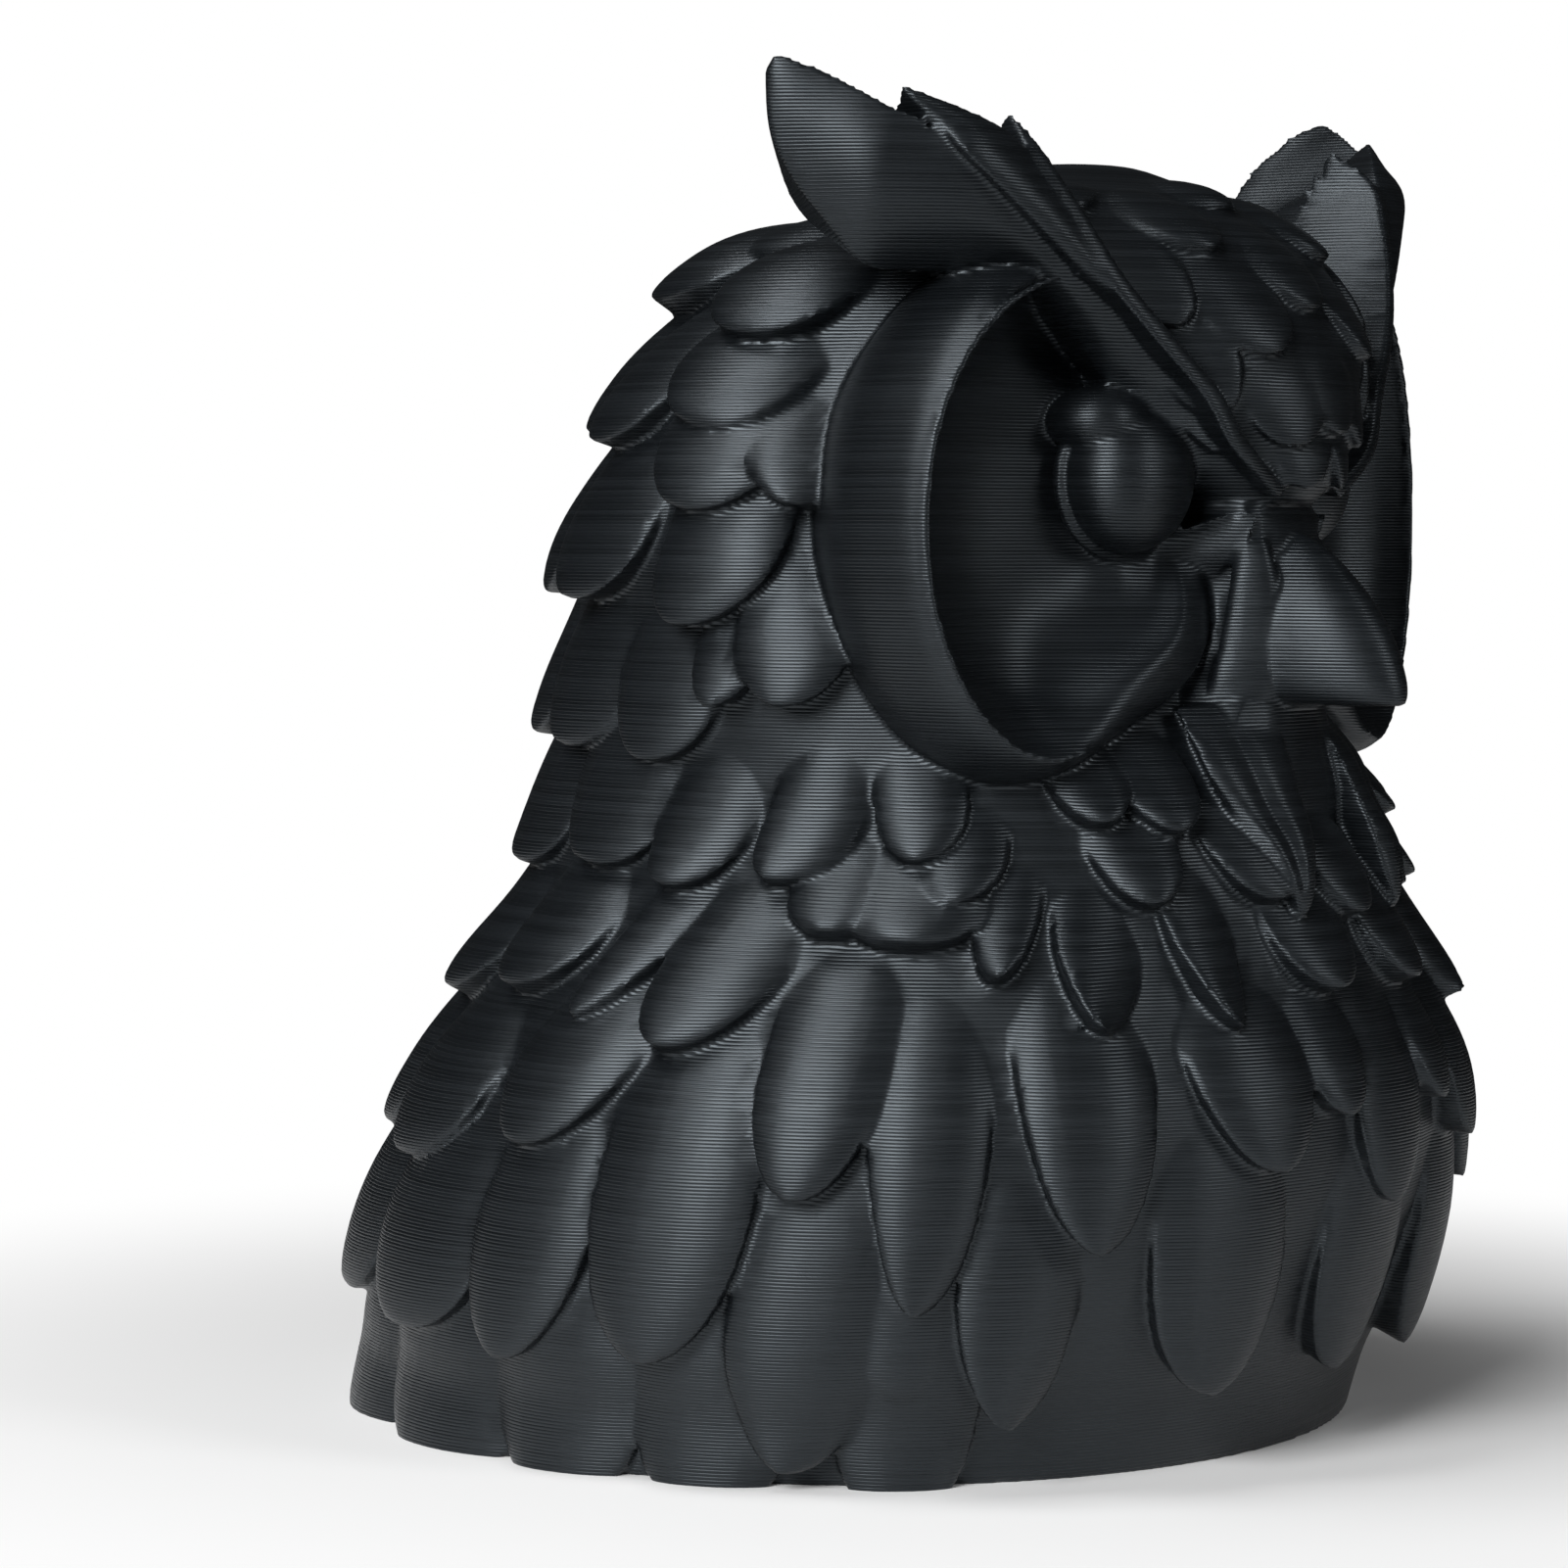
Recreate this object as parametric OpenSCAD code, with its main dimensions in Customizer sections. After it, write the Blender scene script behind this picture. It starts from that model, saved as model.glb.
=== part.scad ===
// Horned owl cover for a trailer hitch ball.
// One printed piece: a feathered owl bust with a blind socket from below that slips over the ball.
// Origin on the socket's axis at the base plane, +Z up, the beak towards -Y, millimetres.

/* [Ball socket] */
// Diameter of the hitch ball that the cover slips over
ball_d = 50.8; // [45:0.1:52]
// Clearance between the ball and the socket, all round
ball_clearance = 0.4; // [0.2:0.1:1]
// Depth of the socket's straight part, up to the middle of the ball
socket_depth = 50; // [40:1:52]

/* [Body] */
// Diameter of the plain collar at the base
collar_d = 92; // [88:1:98]
// Width of the body across the shoulders, under the feathers
shoulder_w = 98; // [94:1:104]
// Height of the widest part of the body
shoulder_z = 22; // [18:1:26]
// How far the chest stands in front of the socket's axis
chest_reach = 55; // [52:1:58]
// How far the back stands behind the socket's axis
back_reach = 42; // [40:1:46]
// Height of the neck, where the body meets the head
neck_z = 60; // [56:1:63]
// Width of the neck, under the feathers
neck_w = 73; // [70:1:78]

/* [Head] */
// Width of the head, under the feathers
head_w = 74; // [70:1:78]
// Height of the middle of the head above the base
head_z = 86; // [84:1:88]
// Height of the crown, under its scales
crown_z = 113.5; // [112:0.5:116]
// How far the head leans forward of the socket's axis
head_lean = 12; // [10:1:14]

/* [Facial discs] */
// Width of each facial disc
disc_w = 34; // [30:1:37]
// Height of each facial disc
disc_h = 43; // [38:1:46]
// Depth of the bowl in each disc
disc_depth = 8.5; // [6:0.5:10]
// Thickness of the disc's rim from front to back
disc_rim = 12; // [9:0.5:15]
// Distance of each disc's centre from the middle of the face
disc_x = 24.7; // [22:0.1:26]
// Height of the discs' centres
disc_z = 82.5; // [80:0.5:85]
// How far the discs' centres stand in front of the socket's axis
disc_reach = 41.2; // [39:0.1:44]
// Angle that each disc turns outwards, in degrees
disc_turn = 18; // [10:1:25]

/* [Eyes] */
// Diameter of each eyeball
eye_d = 12.8; // [11:0.1:14]
// Height of the eyes above the base
eye_z = 86.5; // [85:0.5:88]
// Distance of each eye from the middle of the face
eye_x = 13.5; // [12:0.1:17]
// How far the eyes' centres stand in front of the socket's axis
eye_reach = 37.5; // [36:0.1:41]
// Thickness of the eyelid over the eyeball
lid_t = 1.6; // [1:0.1:2.5]

/* [Beak] */
// Height of the beak from its tip to the brow
beak_h = 15; // [12:0.5:18]
// Height of the beak's tip above the base
beak_tip_z = 66.6; // [65:0.1:69]
// How far the beak's tip stands in front of the socket's axis
beak_reach = 58.8; // [56:0.1:62]
// Width of the beak at its root
beak_w = 13.5; // [11:0.5:15]

/* [Ear tufts] */
// Width from tip to tip of the ear tufts
tuft_span = 90; // [86:1:94]
// Height of the ear tufts' tips above the base
tuft_z = 122; // [120:0.5:126]

/* [Feathers] */
// How far a body feather's tip stands off the body
feather_lift = 2.6; // [2:0.1:3.2]
// How deep a feather's edges start in the body at its root
feather_sink = 1.6; // [1.2:0.1:2.2]
// Swell of a feather across its width, as a share of the width
feather_camber = 0.1; // [0.06:0.01:0.16]
// How deep the feathers are rooted in the body
feather_root = 4; // [3:0.5:5]

/* [Hidden] */

socket_r = ball_d / 2 + ball_clearance;
collar_r = collar_d / 2;
round_fn = 96;
finish_colour = [0.09, 0.09, 0.1];

// Rings of the body from the base to the crown.
// Each ring holds its height, the place of its middle, half its width, and its reach to back and front.
body_rings = [
    [0, 0, collar_r, collar_r, collar_r],
    [shoulder_z * 0.27, -1, collar_r + 0.5, collar_r, collar_r + 1],
    [shoulder_z * 0.55, -2, shoulder_w / 2 - 0.5, back_reach + 4, chest_reach - 6],
    [shoulder_z, -4, shoulder_w / 2, back_reach + 3.5, chest_reach - 4],
    [shoulder_z + (neck_z - shoulder_z) * 0.26, -5.5, shoulder_w / 2 - 1.5, back_reach + 0.5, chest_reach - 4],
    [shoulder_z + (neck_z - shoulder_z) * 0.47, -7, shoulder_w / 2 - 5, back_reach - 2, chest_reach - 7],
    [shoulder_z + (neck_z - shoulder_z) * 0.66, -8, neck_w / 2 + 3.5, back_reach - 5, chest_reach - 10.5],
    [shoulder_z + (neck_z - shoulder_z) * 0.84, -9, neck_w / 2 + 0.5, back_reach - 5.5, chest_reach - 14],
    [neck_z + 2, -10, neck_w / 2, back_reach - 6, chest_reach - 20],
    [head_z - 14, -head_lean + 1, head_w / 2, back_reach - 7.5, 28],
    [head_z - 6, -head_lean, head_w / 2, back_reach - 8, 22],
    [head_z + 2, -head_lean, head_w / 2 - 1, back_reach - 11.5, 22],
    [head_z + (crown_z - head_z) * 0.36, -head_lean - 1, head_w / 2 - 4, back_reach - 14, 23],
    [head_z + (crown_z - head_z) * 0.62, -head_lean - 3, head_w / 2 - 8, back_reach - 17, 23],
    [head_z + (crown_z - head_z) * 0.8, -head_lean - 4, head_w * 0.31, back_reach / 2, 22],
    [head_z + (crown_z - head_z) * 0.93, -head_lean - 7, head_w * 0.2, back_reach / 3, 15],
    [crown_z - 0.4, -head_lean - 10, head_w * 0.095, back_reach / 6, 8],
    [crown_z, -head_lean - 11, 0.6, 0.6, 0.6],
];

// Rings of the forehead's dome, from the beak's root up to the crown, in the same form
forehead_rings = [
    [head_z - 1.4, -42, 6, 8, 6.8],
    [head_z + 1.5, -41, 9.5, 10, 9.6],
    [head_z + (crown_z - head_z) * 0.22, -39, 13.5, 11, 12],
    [head_z + (crown_z - head_z) * 0.4, -38, 17, 10, 12.6],
    [head_z + (crown_z - head_z) * 0.58, -35, 20, 12, 13],
    [head_z + (crown_z - head_z) * 0.76, -30.5, 21, 16, 14],
    [head_z + (crown_z - head_z) * 0.91, -26.5, 19, 18, 12],
    [crown_z, -24, 12, 14, 8.5],
    [crown_z + 1.3, -24, 6, 7, 5],
    [crown_z + 1.6, -24, 0.6, 0.6, 0.6],
];

// A smooth curve through four neighbouring rows, at share t between the middle two
function smooth_row(p0, p1, p2, p3, t) =
    0.5 * (2 * p1 + (p2 - p0) * t + (2 * p0 - 5 * p1 + 4 * p2 - p3) * t * t
        + (3 * p1 - p0 - 3 * p2 + p3) * t * t * t);

// The rows with smooth ones added between them
function smooth_rows(rows, steps) = [
    for (i = [0 : len(rows) - 2], k = [0 : steps - 1])
        smooth_row(rows[max(i - 1, 0)], rows[i], rows[i + 1], rows[min(i + 2, len(rows) - 1)], k / steps),
    rows[len(rows) - 1],
];

// Distance along a skin from its lowest ring up to each ring
function running(rows, i = 0, sum = 0) =
    i >= len(rows) ? [] : concat([sum], running(rows, i + 1,
        i + 1 < len(rows) ? sum + norm([rows[i + 1][0] - rows[i][0], rows[i + 1][2] - rows[i][2]]) : sum));

skin_steps = 2;

// A skin is one table for each column of its rings, against the distance up the skin
function skin_of(rings) = let (
    rows = smooth_rows(rings, skin_steps),
    reach = running(rows)
) [for (k = [0 : 4]) [for (i = [0 : len(rows) - 1]) [reach[i], rows[i][k]]]];

body_skin = skin_of(body_rings);
forehead_skin = skin_of(forehead_rings);

function reach_top(skin) = skin[0][len(skin[0]) - 1][0];

// Point on a skin at a bearing from the beak and a distance s up the skin.
// The bearing grows towards the owl's right side.
function on_skin(skin, bearing, s) = let (
    u = max(0, min(reach_top(skin) - 0.01, s)),
    c = cos(bearing),
    depth = c > 0 ? lookup(u, skin[4]) : lookup(u, skin[3])
) [-sin(bearing) * lookup(u, skin[2]), lookup(u, skin[1]) - c * depth, lookup(u, skin[0]) + min(0, s)];

function unit(v) = v / norm(v);

// Outward direction of a skin at that point
function off_skin(skin, bearing, s) = let (
    b = 3,
    e = 1.5,
    high = min(reach_top(skin) - 0.5, s + e),
    low = high - 2 * e
) unit(cross(on_skin(skin, bearing, high) - on_skin(skin, bearing, low),
    on_skin(skin, bearing + b, s) - on_skin(skin, bearing - b, s)));

function total(v, i = 0) = i >= len(v) - 1 ? v[i] : v[i] + total(v, i + 1);

function centre(ring) = total(ring) / len(ring);

// Which way a ring of points turns: its area as a vector, doubled
function turn(ring) = total([for (j = [0 : len(ring) - 1])
    cross(ring[j] - ring[0], ring[(j + 1) % len(ring)] - ring[0])]);

// Faces of a solid made of closed rings of points, one after another, with both ends capped
function loft_faces(rings, points) = concat(
    [[for (j = [0 : points - 1]) j]],
    [for (i = [0 : rings - 2], j = [0 : points - 1], half = [0, 1]) let (
        a = i * points + j,
        b = i * points + (j + 1) % points
    ) half == 0 ? [a, a + points, b] : [b, a + points, b + points]],
    [[for (j = [points - 1 : -1 : 0]) (rings - 1) * points + j]]
);

function reversed(v) = [for (i = [len(v) - 1 : -1 : 0]) v[i]];

// A solid through closed rings of points, whichever way round they run
module loft(rings) {
    ahead = turn(rings[0]) * (centre(rings[1]) - centre(rings[0]));
    stack = ahead > 0 ? rings : [for (r = rings) reversed(r)];
    polyhedron(
        points = [for (r = stack, p = r) p],
        faces = loft_faces(len(stack), len(stack[0]))
    );
}

module both_sides() {
    children();
    mirror([1, 0, 0]) children();
}

body_sides = 22;
dome_sides = 12;

// The smooth shape under the feathers
module core(skin, around) {
    loft([for (i = [0 : skin_steps : len(skin[0]) - 1])
        [for (j = [0 : around - 1]) on_skin(skin, j * 360 / around, skin[0][i][0])]]);
}

// Half-width of a feather along its length, as a share of its full half-width.
// It is widest at the shoulder, and a higher roundness gives a blunter tip.
feather_shoulder = 0.55;

function feather_width(t, roundness) =
    t < feather_shoulder
        ? 0.72 + 0.28 * sin(90 * t / feather_shoulder)
        : pow(1 - pow((t - feather_shoulder) / (1 - feather_shoulder), roundness), 0.5);

// Places of a feather's rings from root to tip, as shares of its length, and places across it
// from edge to edge, as shares of its half-width: first for a broad feather, then for a small one
broad = [[0.1, 0.7, 0.98], [-1, -0.4, 0.4, 1]];
small = [[0.1, 0.7, 0.98], [-1, 0, 1]];

// One ring of a feather: its swelled top from edge to edge, then its buried keel
function feather_ring(skin, t, bearing, s, length, width, lean, roundness, lift, curl, grid) = let (
    b = bearing - lean * (1 - t),
    u = s + length * (1 - t),
    normal = off_skin(skin, b, u),
    ahead = unit(on_skin(skin, bearing, s - 1) - on_skin(skin, bearing - lean, s + length)),
    side = unit(cross(normal, ahead)),
    half = width / 2 * feather_width(t, roundness),
    edge = -feather_sink + (lift + feather_sink) * t,
    swell = width * feather_camber * (0.25 + 0.75 * feather_width(t, roundness)),
    bend = 2 * lookup(max(0, u), skin[2]) + 8,
    under = -feather_root + (feather_root + lift - feather_sink) * curl * pow(t, 3),
    middle = on_skin(skin, b, u)
) concat(
    [for (a = grid[1]) middle + side * a * half
        + normal * (edge + swell * (1 - a * a) - pow(a * half, 2) / bend)],
    [middle + normal * under]
);

// A feather lying on a skin, its tip at the given bearing and distance s up the skin.
// Lean turns its root towards the face, and curl frees its tip from the skin.
module feather(skin, bearing, s, length, width, lean, roundness, lift, curl, grid) {
    loft([for (t = grid[0])
        feather_ring(skin, t, bearing, s, length, width, lean, roundness, lift, curl, grid)]);
}

// Each row: bearing of the tip, distance of the tip up the skin, length, width, lean, roundness.
// They are given for the owl's right side and repeated on its left.
skirt_feathers = [
    [50, -3, 34, 13, -3, 3],
    [52, 9, 20, 9, -2, 3],
    [71, -3, 26, 15, 0, 2.4],
    [89, -3, 26, 16, 2, 2.4],
    [110, -3, 20, 20, 3, 2.6],
    [134, -3, 20, 20, 3, 2.6],
    [157, -3, 20, 20, 2, 2.6],
];
cape_feathers = [
    [40, 7, 24, 11, -5, 1.7],
    [19, 9, 26, 14, -6, 2],
    [62, 2, 29, 14, 0, 1.6],
    [78, 12, 32, 15, 0, 2.2],
    [95, 11, 26, 13, 3, 2],
    [36, 22, 28, 12, -7, 1.8],
    [18, 28, 20, 12, -7, 1.7],
    [52, 17, 32, 10.5, -5, 1.6],
    [66, 26, 26, 11.5, 1, 2],
];
rear_cape_feathers = [
    [114, 12, 20, 18, 5, 2.2],
    [139, 12, 20, 18, 6, 2.2],
    [165, 12, 20, 18, 3, 2.2],
];
shoulder_feathers = [
    [9, 32, 15, 8, -3, 2],
    [23, 41, 23, 8, -6, 1.6],
    [38, 40, 20, 11, -1, 1.6],
    [50, 45, 14, 6, 0, 1.8],
    [46, 46, 15, 9, 4, 1.8],
    [84, 38, 20, 11, 9, 2],
    [96, 40, 21, 6, 12, 1.6],
    [98, 29, 20, 12, 9, 2],
    [121, 26, 20, 16, 6, 2.2],
    [146, 26, 20, 16, 5, 2.2],
    [112, 42, 18, 13, 6, 2],
    [134, 40, 19, 15, 5, 2],
    [159, 41, 19, 15, 3, 2],
    [8, 43, 16, 10, -2, 2],
    [14, 52, 14, 9, -4, 1.8],
    [31, 52, 12, 8, -4, 1.8],
];
neck_feathers = [
    [60, 48, 12, 13, 0, 3],
    [60, 55, 14, 10.5, 1, 2.2],
    [78, 53, 16, 10, 10, 2],
    [92, 53, 15, 9, 8, 2],
    [109, 55, 16, 14, 8, 2],
    [132, 54, 16, 15, 6, 2],
    [157, 55, 16, 15, 3, 2],
    [100, 65, 15, 12, 6, 2],
    [121, 66, 15, 14, 8, 2],
    [146, 66, 15, 15, 5, 2],
];
// On the head the tips stand free of the skin
head_feathers = [
    [76, 70, 15, 11, 8, 2],
    [87, 70, 11, 7, 5, 1.6],
    [94, 77, 17, 12, 13, 2],
    [74, 87, 11, 10, 4, 2],
    [96, 87, 14, 13, 14, 2.2],
    [98, 94, 12, 13, 12, 2.2],
    [97, 102, 14, 13, 12, 2.2],
    [120, 79, 16, 15, 8, 2],
    [150, 79, 17, 16, 8, 1.8],
    [122, 92, 16, 12, 10, 2],
    [146, 93, 17, 13, 12, 1.8],
    [136, 105, 16, 15, 12, 2],
    [160, 105, 15, 14, 8, 2],
];
// Scales of the forehead's dome, with tips towards the beak
forehead_scales = [
    [24, 13, 13, 10, -5, 2],
    [62, 20, 13, 10, -6, 2],
    [26, 25, 13, 10, -4, 2],
    [60, 31, 12, 10, -6, 2],
];
// Scales behind the ear tufts, with tips towards the back
crown_scales = [
    [118, 112, 12, 13, 6, 2],
    [156, 113, 12, 14, 4, 2],
];
// Feathers on the middle line, in front and at the back
front_feathers = [
    [0, 9, 26, 13, 0, 2],
    [0, 24, 24, 11, 0, 2],
    [0, 50, 16, 9, 0, 2],
];
back_feathers = [
    [180, -3, 26, 14, 0, 2.4],
    [180, 28, 20, 15, 0, 2.2],
    [180, 56, 16, 11, 0, 2],
    [180, 74, 15, 12, 0, 2],
    [180, 92, 16, 13, 0, 2],
];
// Feathers of the chin, with tips standing free under the beak
chin_feathers = [
    [14, 50, 16, 11, 1, 1.5],
    [27, 58, 12, 8, 2, 1.8],
    [36, 59, 10, 7, 0, 2],
];
middle_scales = [
    [0, 8, 12, 9, 0, 2],
    [0, 19, 13, 10, 0, 2],
    [0, 31, 13, 10, 0, 2],
];

module feather_rows(rows, skin = body_skin, lift = feather_lift, curl = 0, grid = small) {
    for (f = rows)
        feather(skin, f[0], f[1], f[2], f[3], f[4], f[5], lift, curl, grid);
}

skirt_lift = 1.6;
cape_lift = 3;
head_lift = 3.6;
head_curl = 0.8;
scale_lift = 0.6;
chin_lift = 4.5;

module plumage() {
    both_sides() {
        feather_rows(skirt_feathers, lift = skirt_lift);
        feather_rows(cape_feathers, lift = cape_lift, grid = broad);
        feather_rows(rear_cape_feathers, lift = cape_lift);
        feather_rows(shoulder_feathers);
        feather_rows(neck_feathers);
        feather_rows(head_feathers, lift = head_lift, curl = head_curl);
        feather_rows(forehead_scales, forehead_skin, scale_lift);
        feather_rows(chin_feathers, lift = chin_lift, curl = head_curl);
        feather_rows(crown_scales, lift = scale_lift);
    }
    feather_rows(front_feathers);
    feather_rows(back_feathers);
    feather_rows(middle_scales, forehead_skin, scale_lift);
}

// One row of a facial disc's section: depth behind the crest, size as a share of the crest's ellipse,
// and how far the row moves inwards where the disc has a broad lip
disc_lip = 0.16;
disc_section = [
    [disc_rim + 5, 0.94, 0],
    [disc_rim, 1.06, 0],
    [disc_rim * 0.6, 1.1, 0],
    [disc_rim * 0.2, 1.06, 0],
    [0, 0.99, 0],
    [disc_depth * 0.3, 0.91, disc_lip],
    [disc_depth * 0.8, 0.68, disc_lip * 0.3],
    [disc_depth, 0.3, 0],
];

// The broad lip lies below the beak's side, at this angle round the disc
disc_lip_angle = 225;

// The rim steps back under the brow, by this much and at this angle round the disc
disc_recess = 7.5;
disc_recess_angle = 125;

function disc_share(a, row) = row[1] - row[2] * pow(max(0, cos(a - disc_lip_angle)), 3);

function recess(a, share) = disc_recess * pow(max(0, cos(a - disc_recess_angle)), 3)
    * max(0, min(1, (share - 0.6) / 0.35));

disc_sides = 22;

// Bowl-shaped facial disc on the owl's right, with a thick rounded rim
module facial_disc() {
    translate([-disc_x, -disc_reach, disc_z])
        rotate([0, 0, -disc_turn])
            loft([for (row = disc_section) [for (j = [0 : disc_sides - 1]) let (
                a = j * 360 / disc_sides,
                share = disc_share(a, row)
            ) [-cos(a) * disc_w / 2 * share, row[0] + recess(a, share), sin(a) * disc_h / 2 * share]]]);
}

eye_sides = 12;

// Eyeball, flatter from front to back, under a lid that hangs over it like a cone
module eye() {
    translate([-eye_x, -eye_reach, eye_z]) {
        scale([1, 0.85, 1]) sphere(d = eye_d, $fn = eye_sides);
        translate([0, -lid_t / 2, eye_d * 0.33])
            cylinder(r1 = eye_d / 2 - 0.3, r2 = 0.6, h = eye_d * 0.42, $fn = eye_sides);
    }
}

// Directions in which the plumes' faces look
outer_face = unit([-0.8, -0.6, 0]);
middle_face = unit([-0.75, -0.65, 0.1]);
inner_face = unit([-0.6, -0.8, 0.1]);

// One ring of a plume: its upper edge, a swelled face, its lower edge and its root behind
function plume_ring(upper, lower, root, swell, face) = [
    upper,
    upper * 0.67 + lower * 0.33 + face * swell,
    upper * 0.33 + lower * 0.67 + face * swell,
    lower,
    root,
];

// A long feather given by rows of [upper edge, lower edge, root, swell of the face]
module plume(rows, face) {
    loft([for (r = rows) plume_ring(r[0], r[1], r[2], r[3], face)]);
}

tip_x = -tuft_span / 2;

// The ear tuft's broad plume, from above the beak to the tuft's tip
outer_plume = [
    [[-9.5, -46.6, 88.6], [-10.5, -45.6, 88.6], [-6, -38, 90], 0],
    [[-13, -45, 93.2], [-13.5, -42, 92], [-9, -33, 95], 0],
    [[-17, -43, 98], [-16, -38.5, 94.2], [-13, -30, 97], 0.3],
    [[-24, -40.6, 103.2], [-21, -37.2, 99.5], [-17, -27, 101], 0.4],
    [[-30, -38.6, 108.4], [-26, -35, 103.6], [-21, -23, 104], 0.8],
    [[-35, -36.6, 112.8], [-33, -30, 104], [-26, -20, 106], 1.1],
    [[tip_x + 7, -33.5, tuft_z - 5.5], [tip_x + 7.5, -27.6, 104.4], [tip_x + 13, -18.5, 108], 1.2],
    [[tip_x + 5.5, -32, tuft_z - 4.6], [tip_x + 4.5, -26, 107.6], [tip_x + 9, -19, 110.5], 1.1],
    [[tip_x + 3, -28, tuft_z - 2], [tip_x + 2, -24, 111.5], [tip_x + 6, -19.4, 113.5], 0.8],
    [[tip_x + 1.4, -25.5, tuft_z - 0.8], [tip_x + 0.4, -22.8, 115.5], [tip_x + 3, -20.6, 117], 0.4],
    [[tip_x + 0.2, -23.6, tuft_z], [tip_x, -22.6, tuft_z - 1.6], [tip_x + 0.6, -22.4, tuft_z - 1], 0.1],
];
// The second plume, which overlaps the first and ends in the second tip
middle_plume = [
    [[-8, -48.4, 87.2], [-9, -47.8, 87.6], [-6, -41, 88], 0],
    [[-11.6, -48, 90], [-10.8, -47, 89.6], [-8, -39, 90], 0],
    [[-13.8, -47, 93.6], [-13.6, -45, 93.9], [-10, -37, 94], 0.2],
    [[-18.6, -45.2, 98.8], [-17.3, -43, 98.6], [-14, -35, 99], 0.4],
    [[-23.2, -43.2, 104], [-24.5, -40.5, 104], [-18, -32, 104], 0.7],
    [[-26.4, -41, 109.4], [-30.5, -38.5, 109.1], [-23, -29, 108], 0.8],
    [[-30, -38.2, 114.8], [-35.7, -36.5, 113.5], [-29, -27, 112], 0.8],
    [[-33, -36, 117], [tip_x + 8, -34.8, 116], [-34, -27, 114], 0.6],
    [[tip_x + 6, -32, tuft_z - 2.6], [tip_x + 6.6, -33, tuft_z - 3.8], [tip_x + 7.6, -30.6, tuft_z - 4.4], 0.1],
];
// The thin inner plume is the brow's ridge, from above the beak to the third tip
inner_plume = [
    [[-4, -49, 85.6], [-5.4, -48.8, 84.6], [-4, -41, 87], 0.2],
    [[-8.2, -49.2, 88], [-9.4, -48.8, 87], [-6, -41, 89], 0.2],
    [[-11, -48.8, 90.4], [-12.6, -48.4, 89.4], [-9, -40, 92], 0.2],
    [[-13.6, -47.8, 94.4], [-15.2, -47.4, 93.4], [-11, -39, 95], 0.2],
    [[-18.4, -46, 99], [-19.8, -45.6, 98], [-15, -37, 99], 0.2],
    [[-22.4, -44, 103.6], [-23.8, -43.6, 102.6], [-18, -34, 103], 0.2],
    [[-25.4, -41.8, 109], [-26.8, -41.4, 108], [-21, -32, 107], 0.2],
    [[-27.8, -39, 114.4], [-29.4, -39, 113.4], [-25, -31, 111], 0.1],
    [[-26.6, -35, tuft_z - 4.2], [-27.2, -35.2, tuft_z - 4.8], [-26.8, -33.6, tuft_z - 5.6], 0],
];

module ear_tuft() {
    plume(outer_plume, outer_face);
    plume(middle_plume, middle_face);
    plume(inner_plume, inner_face);
}

beak_top_z = beak_tip_z + beak_h;
// Each row: height, reach of the ridge, half-width, reach of the root behind it
beak_rows = [
    [beak_top_z, beak_reach - 10.5, 1.2, beak_reach - 14],
    [beak_top_z - beak_h * 0.12, beak_reach - 8.8, beak_w * 0.22, beak_reach - 16],
    [beak_top_z - beak_h * 0.35, beak_reach - 5.4, beak_w * 0.4, beak_reach - 18],
    [beak_top_z - beak_h * 0.6, beak_reach - 2.6, beak_w * 0.49, beak_reach - 18],
    [beak_top_z - beak_h * 0.85, beak_reach - 0.6, beak_w * 0.44, beak_reach - 18],
    [beak_tip_z, beak_reach, beak_w * 0.25, beak_reach - 10],
];

module beak() {
    loft([for (r = beak_rows) [
        [0, -r[1], r[0]],
        [r[2] * 0.35, -r[1] + 0.6, r[0]],
        [r[2] * 0.8, -r[1] * 0.6 - r[3] * 0.4, r[0]],
        [r[2], -r[1] * 0.25 - r[3] * 0.75, r[0]],
        [r[2], -r[3], r[0]],
        [-r[2], -r[3], r[0]],
        [-r[2], -r[1] * 0.25 - r[3] * 0.75, r[0]],
        [-r[2] * 0.8, -r[1] * 0.6 - r[3] * 0.4, r[0]],
        [-r[2] * 0.35, -r[1] + 0.6, r[0]],
    ]]);
}

// The bridge between the discs, from the brow down to the throat.
// Each row: height, reach of its front, half-width, reach of its flanks.
bridge_rows = [
    [head_z + 1, 45, 4, 42],
    [head_z - 3, 46.8, 7.5, 44],
    [head_z - 8, 48, 9, 44.5],
    [head_z - 13, 49, 9, 44],
    [head_z - 18, 49, 10.5, 42.5],
    [head_z - 23, 48.5, 13.5, 40.5],
    [head_z - 28, 49, 15, 40],
];

// Soft swelling beside the root of the beak
cere_x = 6.4;
cere_reach = 44.8;
cere_r = 2.8;

module bridge() {
    loft([for (r = bridge_rows) [
        [0, -r[1], r[0]],
        [r[2] * 0.6, -r[1] + 0.8, r[0]],
        [r[2], -r[3], r[0]],
        [r[2] + 4, -30, r[0]],
        [-r[2] - 4, -30, r[0]],
        [-r[2], -r[3], r[0]],
        [-r[2] * 0.6, -r[1] + 0.8, r[0]],
    ]]);
    both_sides()
        translate([-cere_x, -cere_reach, head_z - 10])
            scale([0.95, 1, 2.7])
                sphere(r = cere_r, $fn = 10);
}

// Side of a box that is larger than the whole cover
room = 2 * max(tuft_z, collar_d, shoulder_w);

// All that is carved, above the base plane
module carving() {
    intersection() {
        union() {
            core(body_skin, body_sides);
            core(forehead_skin, dome_sides);
            plumage();
            both_sides() {
                facial_disc();
                eye();
                ear_tuft();
            }
            beak();
            bridge();
        }
        translate([-room / 2, -room / 2, 0]) cube(room);
    }
}

// Blind socket with a straight bore and a domed end that seats on the ball
module ball_socket() {
    translate([0, 0, -1]) cylinder(r = socket_r, h = socket_depth + 1, $fn = round_fn);
    translate([0, 0, socket_depth]) sphere(r = socket_r, $fn = round_fn);
}

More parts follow.
